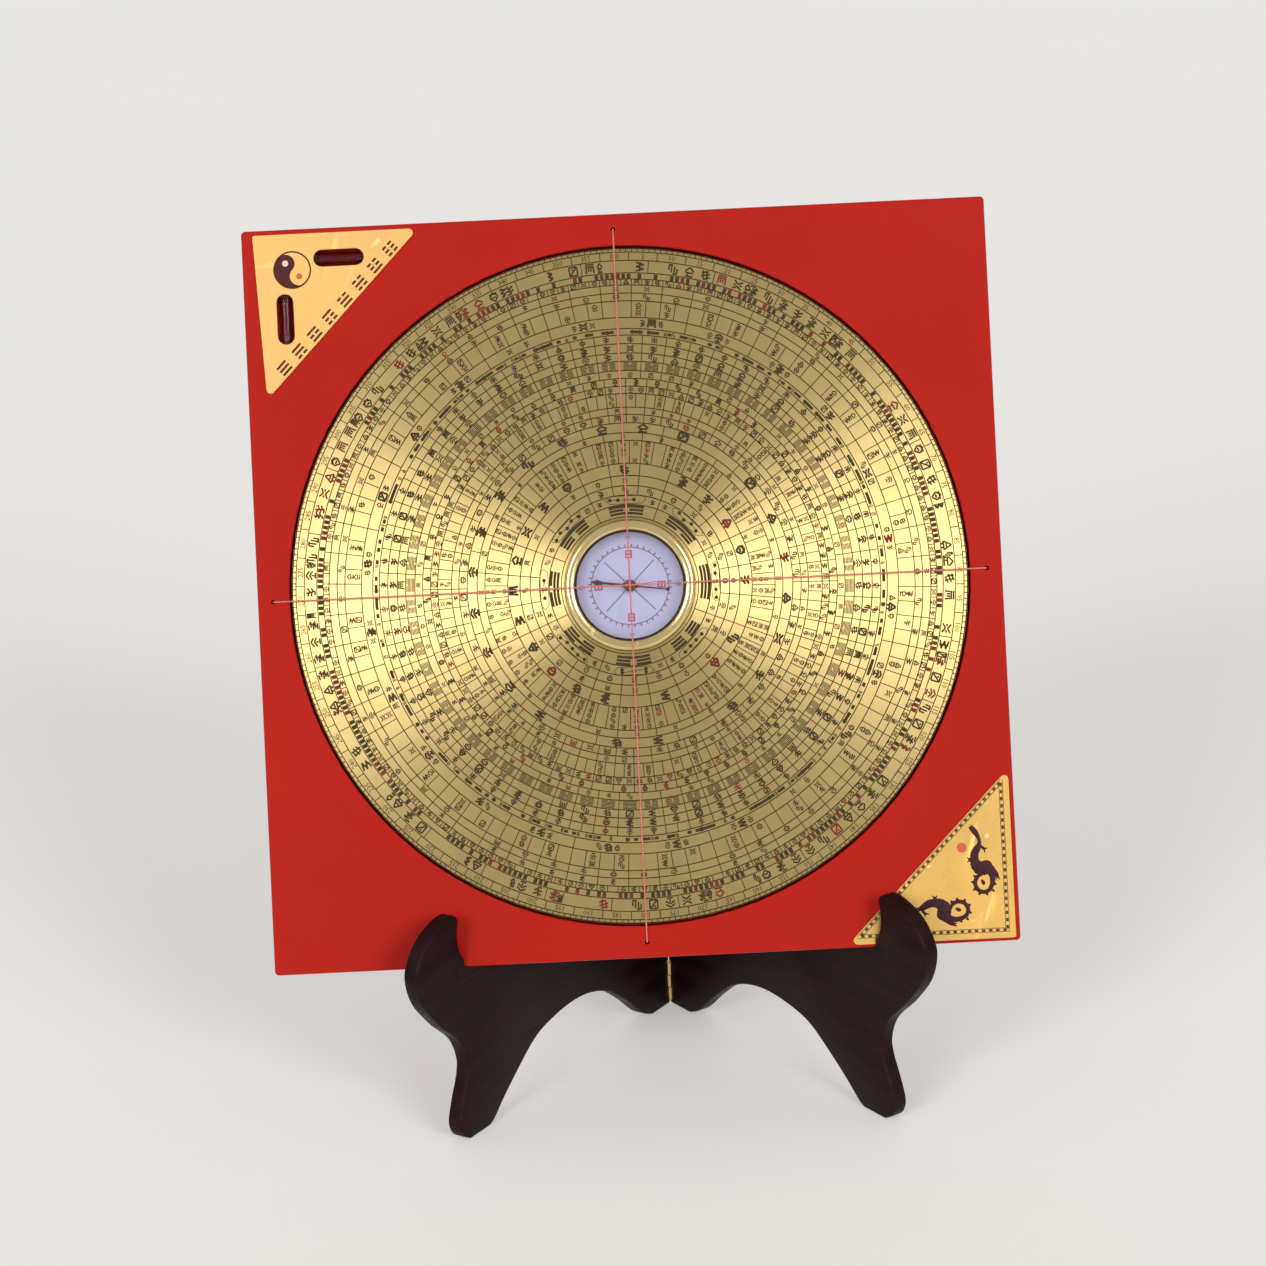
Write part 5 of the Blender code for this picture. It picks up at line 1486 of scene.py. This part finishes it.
def floorLook():
    look = {"colour": view["floorColour"], "roughness": 0.6}
    material, tree, taken, place = startMaterial("paleFloor", look)
    shade = tuple(part * view["floorShade"] for part in view["floorColour"])
    colour = mixColours(tree, mottled(tree, place, view["floorCloud"]), view["floorColour"], shade)
    tree.links.new(colour, taken["Base Color"])
    path = tree.nodes.new("ShaderNodeLightPath").outputs
    seen = maths(tree, "MAXIMUM", path["Is Camera Ray"], path["Is Glossy Ray"])
    seen = maths(tree, "MAXIMUM", seen, path["Is Transmission Ray"])
    taken["Emission Color"].default_value = (*view["floorColour"], 1)
    tree.links.new(times(tree, seen, view["floorLift"]), taken["Emission Strength"])
    return material


def layFloor():
    shape = bmesh.new()
    addPrism(shape, rectangle(view["floor"], view["floor"]), -view["floorThick"], 0.0)
    mesh = meshFrom("floor", shape)
    mesh.materials.append(floorLook())
    linked("floor", mesh)


def addSun(name, aside):
    lamp = bpy.data.lights.new(name, "SUN")
    lamp.angle = math.radians(view["sunAngle"])
    lamp.energy = view["sunPower"]
    lifted = Matrix.Rotation(math.radians(-view["sunAbove"]), 3, "X") @ Vector((0, -1, 0))
    out = Matrix.Rotation(math.radians(aside), 3, "Z") @ lifted
    linked(name, lamp).matrix_world = out.to_track_quat("Z", "Y").to_matrix().to_4x4()


def lightWorld():
    world = bpy.data.worlds.new("studio")
    scene.world = world
    world.use_nodes = True
    tree = world.node_tree
    tree.nodes.clear()
    path = tree.nodes.new("ShaderNodeLightPath").outputs
    seen = maths(tree, "MAXIMUM", path["Is Camera Ray"], path["Is Transmission Ray"])
    seen = maths(tree, "MAXIMUM", seen, times(tree, path["Is Glossy Ray"], view["glossyShare"]))
    soft, plain = [
        addNode(tree, "ShaderNodeBackground", {"Color": (*colour, 1), "Strength": power}).outputs[0]
        for colour, power in ((view["soft"], view["softPower"]), (view["backColour"], 1.0))
    ]
    mixed = addNode(tree, "ShaderNodeMixShader", {0: seen, 1: soft, 2: plain}).outputs[0]
    addNode(tree, "ShaderNodeOutputWorld", {"Surface": mixed})


def setCamera():
    rise, roll = math.radians(view["rise"]), math.radians(view["roll"])
    back = Vector((0, -math.cos(rise), math.sin(rise)))
    level, upright = Vector((1, 0, 0)), Vector((0, math.sin(rise), math.cos(rise)))
    right = level * math.cos(roll) - upright * math.sin(roll)
    up = level * math.sin(roll) + upright * math.cos(roll)
    spot = middleOf("base_board") - up * view["aimDown"] + right * view["aimRight"] + back * view["away"]
    camera = bpy.data.cameras.new("camera")
    camera.lens, camera.sensor_width, camera.clip_end = view["lens"], 36, 50
    scene.camera = linked("camera", camera)
    scene.camera.matrix_world = Matrix.Translation(spot) @ Matrix((right, up, back)).transposed().to_4x4()


print("floor, lights and camera")
layFloor()
lightWorld()
setCamera()
addSun("sideLeft", -view["sunAside"])
addSun("sideRight", view["sunAside"])
scene.view_settings.view_transform = "Standard"
